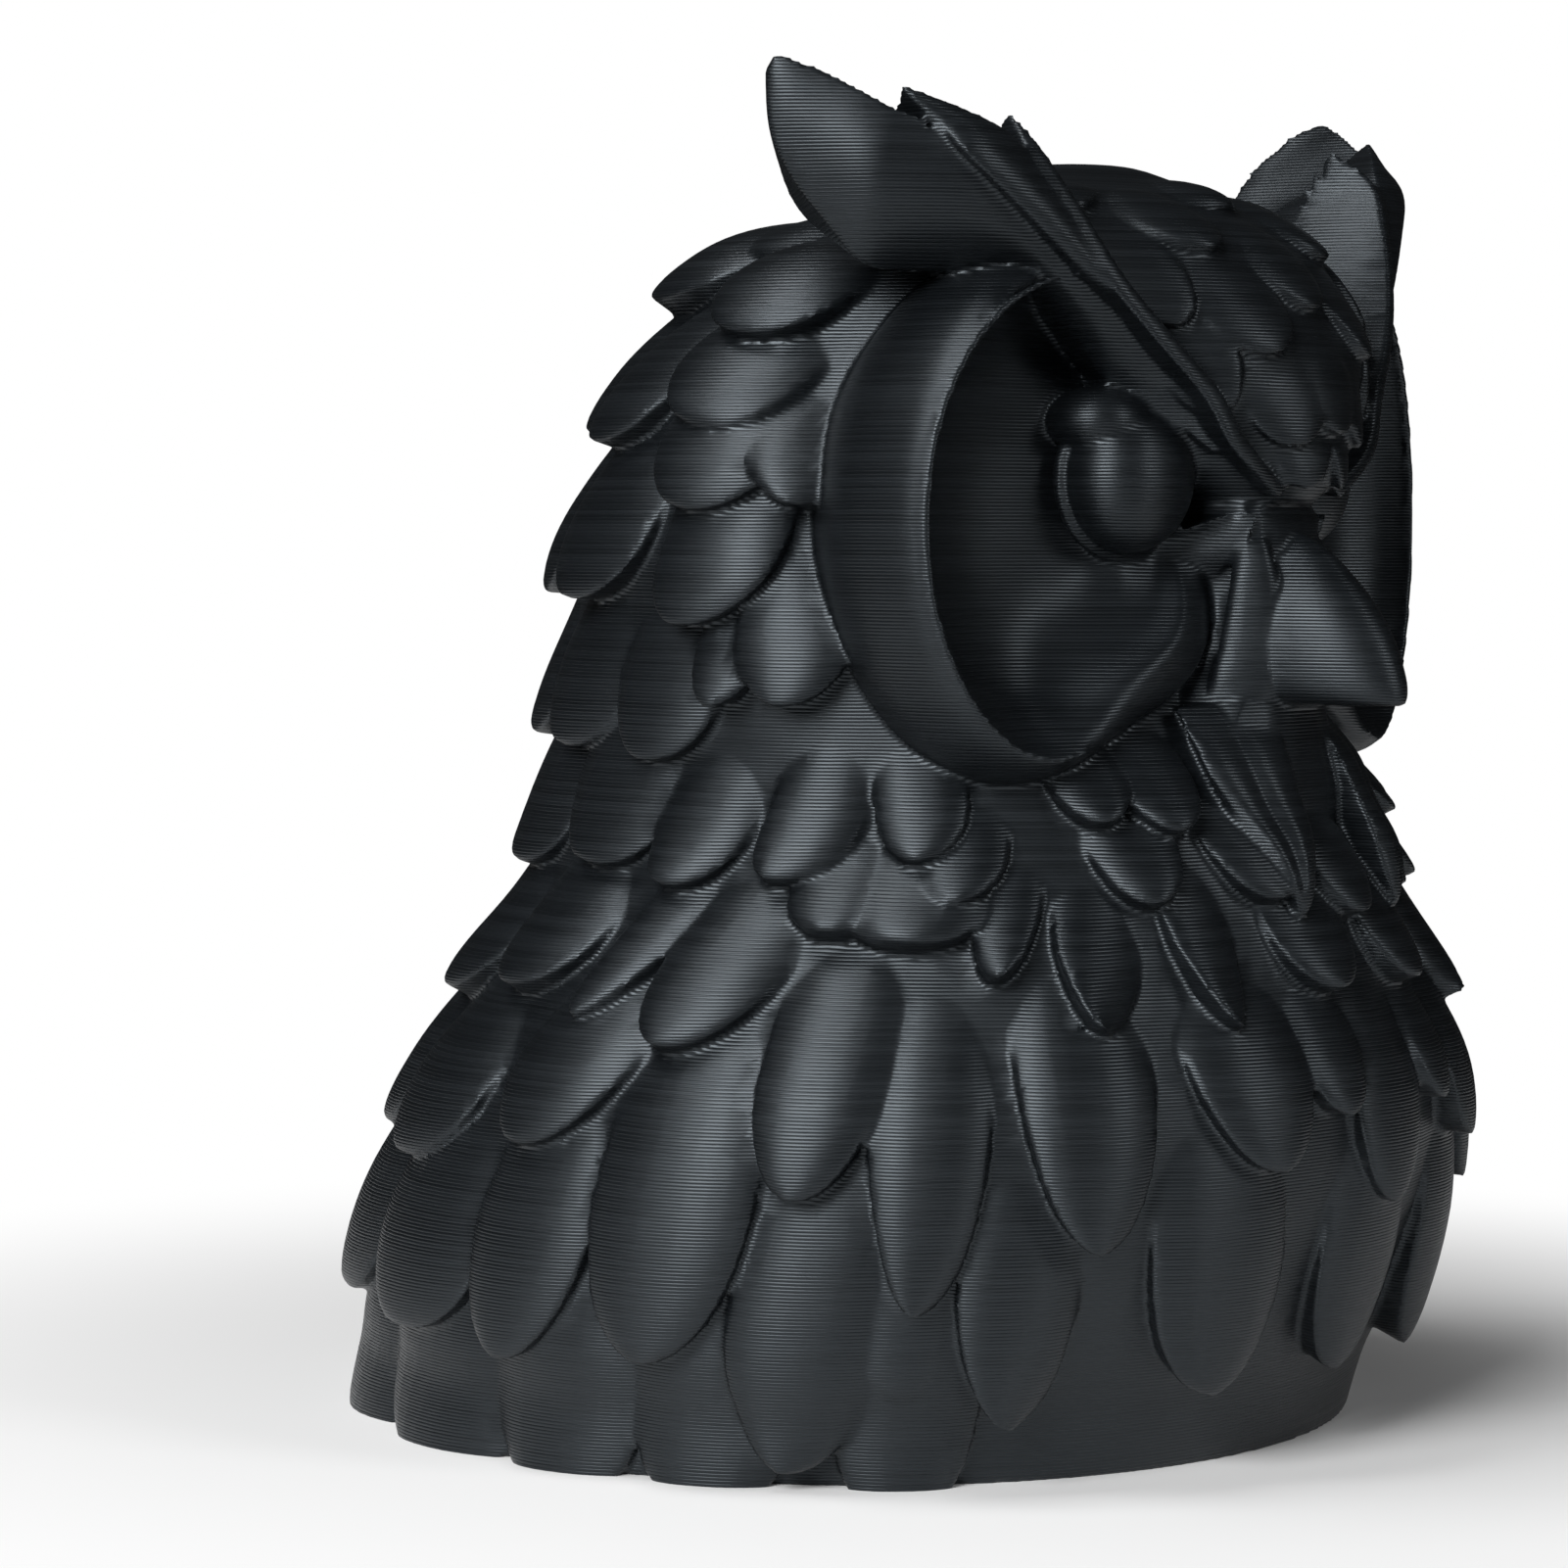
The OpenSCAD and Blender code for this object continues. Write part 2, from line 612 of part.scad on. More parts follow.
module owl_cover() {
    color(finish_colour)
        difference() {
            resize([0, 0, 0]) carving();
            ball_socket();
        }
}

owl_cover();
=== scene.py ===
"""Look of the horned owl hitch ball cover: one printed piece in black plastic, on a plain stage."""

import logging
import math
from dataclasses import dataclass, field

import bmesh
import bpy
import numpy as np
from mathutils import Matrix, Vector


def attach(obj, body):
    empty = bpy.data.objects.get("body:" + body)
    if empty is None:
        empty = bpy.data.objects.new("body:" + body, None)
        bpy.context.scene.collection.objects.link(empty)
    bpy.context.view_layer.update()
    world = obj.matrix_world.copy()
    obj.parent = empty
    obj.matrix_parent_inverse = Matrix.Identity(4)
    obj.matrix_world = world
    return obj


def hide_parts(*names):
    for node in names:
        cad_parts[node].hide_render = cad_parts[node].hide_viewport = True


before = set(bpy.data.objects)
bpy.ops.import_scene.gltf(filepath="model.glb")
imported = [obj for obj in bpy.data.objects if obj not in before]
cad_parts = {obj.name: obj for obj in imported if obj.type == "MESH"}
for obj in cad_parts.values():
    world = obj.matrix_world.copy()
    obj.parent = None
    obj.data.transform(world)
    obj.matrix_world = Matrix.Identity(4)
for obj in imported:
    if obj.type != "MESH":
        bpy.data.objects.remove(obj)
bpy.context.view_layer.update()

NODE = "owl_cover"
BODY = "root"
MM = 0.001

log = logging.getLogger("owl")


def unit(v: np.ndarray) -> np.ndarray:
    """Vectors at length 1, along the last axis."""
    return v / np.maximum(np.linalg.norm(v, axis=-1, keepdims=True), 1e-12)


def circle(count: int) -> np.ndarray:
    """Angles evenly round a circle, in radians."""
    return np.arange(count) * 2 * math.pi / count


def near(a: np.ndarray, place: float, power: int) -> np.ndarray:
    """How near angles are to a place given in degrees: a power of the cosine, where it is above 0."""
    return np.maximum(0, np.cos(a - math.radians(place))) ** power


def smooth_rows(rows: np.ndarray, steps: int) -> np.ndarray:
    """Adds rows between the given ones, on a Catmull-Rom curve through them.

    Args:
        rows: one row of values for each station.
        steps: how many rows take the place of each step between stations.

    Returns:
        The rows, smooth, with the first and last ones kept.
    """
    padded = np.concatenate([rows[:1], rows, rows[-1:]])
    p0, p1, p2, p3 = padded[:-3], padded[1:-2], padded[2:-1], padded[3:]
    shape = (1, steps) + (1,) * (rows.ndim - 1)
    t = (np.arange(steps) / steps).reshape(shape)
    p0, p1, p2, p3 = (p[:, None] for p in (p0, p1, p2, p3))
    curve = 0.5 * (2 * p1 + (p2 - p0) * t + (2 * p0 - 5 * p1 + 4 * p2 - p3) * t**2
                   + (3 * p1 - p0 - 3 * p2 + p3) * t**3)
    return np.concatenate([curve.reshape((-1,) + rows.shape[1:]), rows[-1:]])


@dataclass
class Shell:
    """A closed surface as points and faces, in millimetres."""

    points: np.ndarray
    faces: np.ndarray

    @classmethod
    def facing_out(cls, points: np.ndarray, faces: np.ndarray) -> "Shell":
        """The shell with its faces turned outwards, if the sign of its volume says they aren't."""
        p = points[faces]
        volume = np.einsum("ij,ij->i", p[:, 0], np.cross(p[:, 1], p[:, 2])).sum()
        return cls(points, faces if volume > 0 else faces[:, ::-1])

    @classmethod
    def from_rings(cls, rings: np.ndarray) -> "Shell":
        """Closes a stack of rings into a shell, with a fan at either end.

        Ring i and ring i + 1 are joined by two triangles for each side, and each end ring
        is joined to its own mean point.

        Args:
            rings: points as an array of stations x around x 3.

        Returns:
            The closed shell, with its faces looking outwards.
        """
        stations, around, _ = rings.shape
        ends = np.stack([rings[0].mean(0), rings[-1].mean(0)])
        points = np.concatenate([rings.reshape(-1, 3), ends])
        i, j = np.meshgrid(np.arange(stations - 1), np.arange(around), indexing="ij")
        a = (i * around + j).ravel()
        b = (i * around + (j + 1) % around).ravel()
        k = np.arange(around)
        low, high = stations * around, stations * around + 1
        last = (stations - 1) * around
        faces = np.concatenate([
            np.stack([a, a + around, b], 1),
            np.stack([b, a + around, b + around], 1),
            np.stack([np.full(around, low), k, (k + 1) % around], 1),
            np.stack([np.full(around, high), last + (k + 1) % around, last + k], 1),
        ])
        return cls.facing_out(points, faces)

    @classmethod
    def from_loops(cls, loops: np.ndarray) -> "Shell":
        """Closes a stack of rings into a tube that meets itself, such as a torus.

        Args:
            loops: points as an array of stations x around x 3.

        Returns:
            The closed shell, with its faces looking outwards.
        """
        stations, around, _ = loops.shape
        i, j = np.meshgrid(np.arange(stations), np.arange(around), indexing="ij")
        a = (i * around + j).ravel()
        b = (i * around + (j + 1) % around).ravel()
        c = ((i + 1) % stations * around + j).ravel()
        d = ((i + 1) % stations * around + (j + 1) % around).ravel()
        faces = np.concatenate([np.stack([a, c, b], 1), np.stack([b, c, d], 1)])
        return cls.facing_out(loops.reshape(-1, 3), faces)

    def mirrored(self) -> "Shell":
        """The same shell on the other side of the middle plane."""
        return Shell(self.points * np.array([-1.0, 1.0, 1.0]), self.faces[:, ::-1])


def join(shells: list[Shell]) -> Shell:
    """Puts shells together in one, each still closed in itself."""
    starts = np.cumsum([0] + [len(s.points) for s in shells[:-1]])
    return Shell(np.concatenate([s.points for s in shells]),
                 np.concatenate([s.faces + n for s, n in zip(shells, starts)]))


def both_sides(shells: list[Shell]) -> list[Shell]:
    """The shells and their mirror images."""
    return shells + [s.mirrored() for s in shells]


@dataclass
class Skin:
    """A smooth shape under feathers, given by rings.

    Each ring holds its height, the place of its middle, half its width, and its reach to back
    and front. Bearing 0 is the beak's way and grows towards the owl's right side.
    """

    rings: np.ndarray
    steps: int = 8
    normal_turn: float = 3.0
    normal_step: float = 1.5

    def __post_init__(self) -> None:
        """Works out the smooth rows and the distance up the skin to each."""
        self.rows = smooth_rows(self.rings, self.steps)
        step = np.hypot(np.diff(self.rows[:, 0]), np.diff(self.rows[:, 2]))
        self.reach = np.concatenate([[0.0], np.cumsum(step)])

    def half_width(self, s: np.ndarray) -> np.ndarray:
        """Half the skin's width at distance s up the skin."""
        return np.interp(s, self.reach, self.rows[:, 2])

    def point(self, bearing: np.ndarray, s: np.ndarray) -> np.ndarray:
        """Point on the skin.

        The ring at distance s is two half ellipses: x is minus the sine of the bearing times the
        half-width, and y is the middle minus the cosine times the reach to front or back.

        Args:
            bearing: degrees from the beak.
            s: distance up the skin from its lowest ring.

        Returns:
            Points, along a new last axis.
        """
        bearing, s = np.broadcast_arrays(bearing, s)
        u = np.clip(s, 0, self.reach[-1] - 0.01)
        z, middle, half, back, front = (np.interp(u, self.reach, self.rows[:, k]) for k in range(5))
        c = np.cos(np.radians(bearing))
        x = -np.sin(np.radians(bearing)) * half
        return np.stack([x, middle - c * np.where(c > 0, front, back), z + np.minimum(0, s)], -1)

    def normal(self, bearing: np.ndarray, s: np.ndarray) -> np.ndarray:
        """Outward direction of the skin, from the difference of near points up and around."""
        turn, step = self.normal_turn, self.normal_step
        high = np.minimum(self.reach[-1] - 0.5, s + step)
        up = self.point(bearing, high) - self.point(bearing, high - 2 * step)
        around = self.point(bearing + turn, s) - self.point(bearing - turn, s)
        return unit(np.cross(up, around))

    def shell(self, around: int) -> Shell:
        """The skin itself as a closed shell."""
        bearing = np.arange(around) * 360.0 / around
        return Shell.from_rings(self.point(bearing[None, :], self.reach[:, None]))


@dataclass
class FeatherBed:
    """Feathers of one kind that lie on a skin.

    Each row: bearing of the tip, distance of the tip up the skin, length, width, lean, roundness,
    and where the right edge stands higher than the left one, half of what it is higher by.
    """

    skin: Skin
    rows: list[list[float]]
    lift: float = 2.6
    curl: float = 0.0
    camber: float = 0.1
    root: float = 4.0
    sink: float = 1.6
    shoulder: float = 0.55
    fullness: float = 2.6

    def width(self, t: np.ndarray, roundness: float) -> np.ndarray:
        """Half-width along a feather as a share: a sine up to the shoulder, then a rounded fall."""
        low = 0.72 + 0.28 * np.sin(math.pi / 2 * t / self.shoulder)
        fall = np.clip((t - self.shoulder) / (1 - self.shoulder), 0, 1)
        return np.where(t < self.shoulder, low, np.sqrt(np.maximum(1 - fall**roundness, 0)))

    def feather(self, row: list[float], along: int, across: int) -> Shell:
        """One feather as a closed shell.

        A point sits beside the middle line by its share of the half-width, and stands off the
        skin by the edge's height, which grows along the feather, plus a swell that is highest on
        the middle line, less the skin's own bend. The underside runs back into the body.

        Args:
            row: bearing, distance, length, width, lean, roundness and tilt.
            along: how many stations it has.
            across: how many points it has from edge to edge.

        Returns:
            The feather.
        """
        bearing, s, length, width, lean, roundness = row[:6]
        tilt = row[6] if len(row) > 6 else 0.0
        t = 1 - (1 - np.linspace(0.04, 1, along)) ** 1.35
        t = np.minimum(t, 0.9985)[:, None]
        b = bearing - lean * (1 - t)
        u = s + length * (1 - t)
        normal = self.skin.normal(b, u)
        ahead = unit(self.skin.point(bearing, s - 1.0) - self.skin.point(bearing - lean, s + length))
        side = unit(np.cross(normal, ahead))
        share = self.width(t, roundness)
        half = width / 2 * share
        edge = -self.sink + (self.lift + self.sink) * t
        swell = width * self.camber * (0.25 + 0.75 * share)
        bend = 2 * self.skin.half_width(np.maximum(0, u)) + 8
        under = -self.root + (self.root + self.lift - self.sink) * self.curl * t**3
        middle = self.skin.point(b, u)
        a = np.sin(np.linspace(-math.pi / 2, math.pi / 2, across))[None, :]
        crown = swell * (1 - np.abs(a) ** self.fullness)
        top = edge + crown - (a * half) ** 2 / bend - tilt * a * t
        face = middle + side * (a * half)[..., None] + normal * top[..., None]
        c = np.linspace(0.75, -0.75, 5)[None, :]
        below = np.broadcast_to(under, (len(t), 5)) - (c * half) ** 2 / bend
        back = middle + side * (c * half)[..., None] + normal * below[..., None]
        return Shell.from_rings(np.concatenate([face, back], 1))

    def shells(self, along: int = 20, across: int = 13) -> list[Shell]:
        """All feathers of the bed."""
        return [self.feather(row, along, across) for row in self.rows]


@dataclass
class OwlSizes:
    """The sizes that the solid model is driven by, in millimetres."""

    ball_d: float = 50.8
    ball_clearance: float = 0.4
    socket_depth: float = 50.0
    collar_d: float = 92.0
    shoulder_w: float = 98.0
    shoulder_z: float = 22.0
    chest_reach: float = 55.0
    back_reach: float = 42.0
    neck_z: float = 60.0
    neck_w: float = 73.0
    head_w: float = 74.0
    head_z: float = 86.0
    crown_z: float = 113.5
    head_lean: float = 12.0
    disc_w: float = 34.0
    disc_h: float = 43.0
    disc_depth: float = 8.5
    disc_rim: float = 12.0
    disc_x: float = 24.7
    disc_z: float = 82.5
    disc_reach: float = 41.2
    disc_turn: float = 18.0
    eye_d: float = 12.8
    eye_z: float = 86.5
    eye_x: float = 13.5
    eye_reach: float = 37.5
    beak_h: float = 15.0
    beak_tip_z: float = 66.6
    beak_reach: float = 58.8
    beak_w: float = 13.5
    tuft_span: float = 90.0
    tuft_z: float = 122.0

    @property
    def socket_r(self) -> float:
        """Radius of the ball socket."""
        return self.ball_d / 2 + self.ball_clearance

    @property
    def tip_x(self) -> float:
        """Place of the right ear tuft's tip."""
        return -self.tuft_span / 2


@dataclass
class Body:
    """The bust's body and head under the feathers, and the forehead's dome."""

    sizes: OwlSizes
    skin: Skin = field(init=False)
    forehead: Skin = field(init=False)

    def __post_init__(self) -> None:
        """Sets the rings from the sizes."""
        z = self.sizes
        collar = z.collar_d / 2
        low, brow, crown = z.shoulder_z, z.head_z, z.crown_z
        neck, head = z.neck_z - low, crown - brow
        half, neck_w, head_w = z.shoulder_w / 2, z.neck_w, z.head_w
        back, chest, lean = z.back_reach, z.chest_reach, z.head_lean
        self.skin = Skin(np.array([
            [0, 0, collar, collar, collar],
            [low * 0.27, -1, collar + 0.5, collar, collar + 1],
            [low * 0.55, -2, half - 0.5, back + 4, chest - 6],
            [low, -4, half, back + 3.5, chest - 4],
            [low + neck * 0.26, -5.5, half - 1.5, back + 0.5, chest - 4],
            [low + neck * 0.47, -7, half - 5, back - 2, chest - 7],
            [low + neck * 0.66, -8, neck_w / 2 + 3.5, back - 5, chest - 10.5],
            [low + neck * 0.84, -9, neck_w / 2 + 0.5, back - 5.5, chest - 14],
            [z.neck_z + 2, -10, neck_w / 2, back - 6, chest - 20],
            [brow - 14, -lean + 1, head_w / 2, back - 7.5, 28],
            [brow - 6, -lean, head_w / 2, back - 8, 22],
            [brow + 2, -lean, head_w / 2 - 1, back - 11.5, 22],
            [brow + head * 0.36, -lean - 1, head_w / 2 - 4, back - 14, 23],
            [brow + head * 0.62, -lean - 3, head_w / 2 - 8, back - 17, 23],
            [brow + head * 0.8, -lean - 4, head_w * 0.31, back / 2, 22],
            [brow + head * 0.93, -lean - 7, head_w * 0.2, back / 3, 15],
            [crown - 0.4, -lean - 10, head_w * 0.095, back / 6, 8],
            [crown, -lean - 11, 0.6, 0.6, 0.6],
        ]))
        self.forehead = Skin(np.array([
            [brow - 1.4, -42, 6, 8, 6.8],
            [brow + 1.5, -41, 9.5, 10, 9.6],
            [brow + head * 0.22, -39, 13.5, 11, 12],
            [brow + head * 0.4, -38, 17, 10, 12.6],
            [brow + head * 0.58, -35, 20, 12, 13],
            [brow + head * 0.76, -30.5, 21, 16, 14],
            [brow + head * 0.91, -26.5, 19, 18, 12],
            [crown, -24, 12, 14, 8.5],
            [crown + 1.3, -24, 6, 7, 5],
            [crown + 1.6, -24, 0.6, 0.6, 0.6],
        ]))

    def shells(self) -> list[Shell]:
        """Both smooth shapes."""
        return [self.skin.shell(160), self.forehead.shell(96)]


@dataclass
class Plumage:
    """All feathers and scales of the bust, for the right side and the middle line."""

    body: Body

    def side_beds(self) -> list[FeatherBed]:
        """Feathers that are repeated on the left side."""
        skin, dome = self.body.skin, self.body.forehead
        skirt = [
            [50, -3, 34, 13, -3, 3],
            [71, -3, 26, 15, 0, 2.4],
            [89, -3, 26, 16, 2, 2.4],
            [110, -3, 20, 20, 3, 2.6],
            [134, -3, 20, 20, 3, 2.6],
            [157, -3, 20, 20, 2, 2.6],
            [52, 9, 20, 9, -2, 3],
        ]
        cape = [
            [40, 7, 24, 11, -5, 1.7, 1.2],
            [19, 9, 26, 14, -6, 2],
            [62, 2, 29, 14, 0, 1.6, 0.5],
            [78, 12, 32, 15, 0, 2.2],
            [95, 11, 26, 13, 3, 2],
            [114, 12, 20, 18, 5, 2.2],
            [139, 12, 20, 18, 6, 2.2],
            [165, 12, 20, 18, 3, 2.2],
            [36, 22, 28, 12, -7, 1.8, 0.5],
            [18, 28, 20, 12, -7, 1.7],
            [52, 17, 32, 10.5, -5, 1.6, 0.6],
            [66, 26, 26, 11.5, 1, 2],
        ]
        shoulder = [
            [9, 32, 15, 8, -3, 2],
            [23, 40, 22, 6.5, -6, 1.5, 1.2],
            [38, 40, 18, 7.8, -1, 1.5, 1.4],
            [50, 45, 15, 5.5, 2, 1.8, -0.4],
            [56, 52, 12, 8, 3, 2, -0.3],
            [84, 38, 20, 11, 9, 2],
            [96, 40, 21, 6, 12, 1.6],
            [98, 29, 20, 12, 9, 2],
            [121, 26, 20, 16, 6, 2.2],
            [146, 26, 20, 16, 5, 2.2],
            [112, 42, 18, 13, 6, 2],
            [134, 40, 19, 15, 5, 2],
            [159, 41, 19, 15, 3, 2],
            [8, 43, 16, 10, -2, 2],
            [14, 52, 14, 9, -4, 1.8],
            [31, 52, 12, 8, -4, 1.8],
        ]
        neck = [
            [60, 48, 12, 13, 0, 3],
            [60, 56, 13, 8.2, 3, 2.2],
            [78, 54, 15, 8.5, 12, 2],
            [69, 49, 12, 9, 0, 3],
            [92, 53, 15, 9, 8, 2],
            [109, 55, 16, 14, 8, 2],
            [132, 54, 16, 15, 6, 2],
            [157, 55, 16, 15, 3, 2],
            [100, 65, 15, 12, 6, 2],
            [121, 66, 15, 14, 8, 2],
            [146, 66, 15, 15, 5, 2],
        ]
        head = [
            [76, 70, 15, 11, 8, 2],
            [87, 70, 11, 7, 5, 1.6],
            [94, 77, 17, 12, 13, 2],
            [74, 87, 11, 10, 4, 2],
            [96, 87, 14, 13, 14, 2.2],
            [98, 94, 12, 13, 12, 2.2],
            [97, 102, 14, 13, 12, 2.2],
            [120, 79, 16, 15, 8, 2],
            [150, 79, 17, 16, 8, 1.8],
            [122, 92, 16, 12, 10, 2],
            [146, 93, 17, 13, 12, 1.8],
            [136, 105, 16, 15, 12, 2],
            [160, 105, 15, 14, 8, 2],
        ]
        crown = [
            [118, 112, 12, 13, 6, 2],
            [156, 113, 12, 14, 4, 2],
        ]
        brow_scales = [
            [16, 2.5, 9, 6, -4, 2],
            [20, 7.5, 12, 8.5, -5, 2],
            [24, 17, 15, 10, -4, 2],
            [50, 11, 12, 7, -6, 2],
            [50, 20, 13, 8, -6, 2],
            [27, 26.5, 13, 10, -4, 2],
            [58, 30, 12, 9, -6, 2],
        ]
        chin = [
            [27, 58, 12, 8, 2, 1.8],
            [36, 59, 10, 7, 0, 2],
        ]
        return [
            FeatherBed(skin, skirt, lift=1.6),
            FeatherBed(skin, cape, lift=3.0),
            FeatherBed(skin, shoulder),
            FeatherBed(skin, neck),
            FeatherBed(skin, head, lift=3.6, curl=0.8),
            FeatherBed(skin, crown, lift=0.6),
            FeatherBed(dome, brow_scales, lift=1.1, camber=0.07),
            FeatherBed(skin, chin, lift=3.0, curl=0.8),
        ]

    def middle_beds(self) -> list[FeatherBed]:
        """Feathers on the middle line, in front and at the back."""
        skin, dome = self.body.skin, self.body.forehead
        front = [
            [0, 9, 26, 13, 0, 2],
            [0, 24, 24, 11, 0, 2],
            [0, 50, 16, 9, 0, 2],
        ]
        back = [
            [180, -3, 26, 14, 0, 2.4],
            [180, 28, 20, 15, 0, 2.2],
            [180, 56, 16, 11, 0, 2],
            [180, 74, 15, 12, 0, 2],
            [180, 92, 16, 13, 0, 2],
        ]
        scales = [
            [0, 8.5, 16, 8.5, 0, 2],
            [0, 21.5, 14, 10, 0, 2],
        ]
        top_scales = [
            [0, 31, 12, 11, 0, 2],
        ]
        return [
            FeatherBed(skin, front),
            FeatherBed(skin, back),
            FeatherBed(dome, scales, lift=1.1, camber=0.07),
            FeatherBed(dome, top_scales, lift=0.6),
        ]

    def shells(self) -> list[Shell]:
        """Every feather of both sides."""
        side = [shell for bed in self.side_beds() for shell in bed.shells()]
        middle = [shell for bed in self.middle_beds() for shell in bed.shells()]
        return both_sides(side) + middle


@dataclass
class FacialDisc:
    """Bowl-shaped disc round the right eye, with a thick rounded rim."""

    sizes: OwlSizes
    recess: float = 7.5
    recess_angle: float = 125.0
    bridge_angle: float = 166.0
    lip_angle: float = 218.0
    bevel_angle: float = 282.0
    flat: float = 0.12
    flat_angle: float = 248.0
    swell: float = 0.13
    swell_angle: float = 196.0
    bead: float = 0.45
    bead_per_size: float = 19.0

    def outline(self, a: np.ndarray) -> np.ndarray:
        """Share of the plain ellipse's size.

        It is less by a power of the cosine from the flat place, and more beside the beak.
        """
        return 1 - self.flat * near(a, self.flat_angle, 8) + self.swell * near(a, self.swell_angle, 10)

    def shell(self, around: int = 120) -> Shell:
        """The disc as a closed shell.

        Its section runs from behind the rim over the crest into the bowl: each row is the depth
        behind the crest and the size as a share of the crest's ellipse, then what is added to
        both where the rim rolls over beside the beak, and where it slopes in below. Each counts
        by a power of the cosine of the angle from its place, as does the step back at the brow.
        """
        z = self.sizes
        section = smooth_rows(np.array([
            [z.disc_rim + 5, 0.94, 0, 0, 0, 0],
            [z.disc_rim, 1.06, 0, 0, 0, 0],
            [z.disc_rim * 0.6, 1.1, 0, -0.03, 0, 0],
            [z.disc_rim * 0.2, 1.06, 0.6, -0.03, 0, 0],
            [0, 0.99, 2.2, -0.01, 0, 0],
            [0.8, 0.96, 0.4, -0.08, 0.3, -0.03],
            [z.disc_depth * 0.4, 0.91, -2.2, -0.13, 1.0, -0.12],
            [z.disc_depth * 0.8, 0.72, -2.4, -0.05, 0, -0.06],
            [z.disc_depth, 0.4, -0.4, 0, 0, 0],
            [z.disc_depth, 0.02, 0, 0, 0, 0],
        ]), 6)
        depth, share, roll_depth, roll, bevel_depth, bevel = (section[:, k, None] for k in range(6))
        a = circle(around)[None, :]
        low = near(a, self.lip_angle, 3)
        under = near(a, self.bevel_angle, 3) * (1 - low)
        depth = depth + roll_depth * low + bevel_depth * under
        share = (share + roll * low + bevel * under) * self.outline(a)
        step = np.maximum(near(a, self.recess_angle, 3), near(a, self.bridge_angle, 6))
        back = depth + self.recess * step * np.clip((share - 0.6) / 0.35, 0, 1)
        return Shell.from_rings(self.place(a, share, back))

    def place(self, a: np.ndarray, share: np.ndarray, back: np.ndarray) -> np.ndarray:
        """Point at an angle round the disc, at a share of its size and behind its crest."""
        z = self.sizes
        x = -np.cos(a) * z.disc_w / 2 * share
        up = np.sin(a) * z.disc_h / 2 * share
        turn = math.radians(-z.disc_turn)
        return np.stack([
            x * math.cos(turn) - back * math.sin(turn) - z.disc_x,
            x * math.sin(turn) + back * math.cos(turn) - z.disc_reach,
            up + z.disc_z,
        ], -1)

    def crest(self, around: int = 90) -> Shell:
        """A thin bead along the crest's outer half, as a circle carried along the ellipse."""
        a = np.radians(np.linspace(-95, 98, around))[:, None]
        b = circle(12)[None, :]
        fade = self.bead * np.sqrt(np.sin(np.linspace(0.02, math.pi - 0.02, around)))[:, None]
        share = 0.98 * self.outline(a) + fade / self.bead_per_size * np.cos(b)
        return Shell.from_rings(self.place(a, share, 0.1 + fade * np.sin(b)))


def ball(centre: np.ndarray, radii: np.ndarray, around: int = 48) -> Shell:
    """An ellipsoid: its rings run from pole to pole by the cosine of the latitude."""
    lat = np.linspace(-math.pi / 2 + 0.03, math.pi / 2 - 0.03, around // 2)[:, None]
    lon = circle(around)[None, :]
    way = np.stack([np.cos(lat) * np.cos(lon), np.cos(lat) * np.sin(lon), np.sin(lat) + 0 * lon], -1)
    return Shell.from_rings(way * radii + centre)


@dataclass
class Eye:
    """Eyeball of the right side with its hooded lid."""

    sizes: OwlSizes
    ring: float = 0.5
    ahead: float = 0.9
    lid_place: tuple[float, float, float] = (-2.4, 1.6, 5.0)
    lid_size: tuple[float, float, float] = (4.8, 4.8, 3.0)

    def shells(self) -> list[Shell]:
        """The eyeball, the thin ring round it and the lid, which is a ball that hangs over it."""
        z = self.sizes
        centre = np.array([-z.eye_x, -z.eye_reach - self.ahead, z.eye_z])
        r = z.eye_d / 2 + 0.2
        a = circle(48)[None, :]
        turn = math.radians(z.disc_turn)
        b = circle(24)[:, None]
        around = r + 0.2 + self.ring * np.cos(b)
        off = 1.0 + self.ring * np.sin(b)
        side = around * np.cos(a)
        ring = np.stack([side * math.cos(turn) + off * math.sin(turn),
                         -side * math.sin(turn) + off * math.cos(turn), around * np.sin(a)], -1)
        return [
            ball(centre, np.array([r, r * 0.85, r])),
            ball(centre + np.array(self.lid_place), np.array(self.lid_size)),
            Shell.from_loops(ring + centre),
        ]


def plume(rows: list[list], face: list[float], ridge: float = 0.0, across: int = 13) -> Shell:
    """A long thick feather between two edges.

    Its face is the straight line between its edges plus a sine swell. A ridge adds the size of
    a sine with twice the turns, which makes two ridges with a groove between.

    Args:
        rows: upper edge, lower edge, root behind, and swell of the face.
        face: the way that the face looks.
        ridge: height of the two ridges.
        across: how many points the face has from edge to edge.

    Returns:
        The feather.
    """
    edges = smooth_rows(np.array([[r[0], r[1], r[2], [r[3]] * 3] for r in rows], float), 8)
    upper, lower, root, swell = (edges[:, k, None, :] for k in range(4))
    k = np.linspace(0, 1, across)[None, :, None]
    height = swell * (np.sin(math.pi * k) * 1.15 + ridge * np.abs(np.sin(2 * math.pi * k)))
    front = upper + (lower - upper) * k + unit(np.array(face)) * height
    behind = lower + (root - lower) * np.array([0.33, 0.67, 1.0])[None, :, None]
    above = root + (upper - root) * np.array([0.33, 0.67])[None, :, None]
    return Shell.from_rings(np.concatenate([front, behind, above], 1))


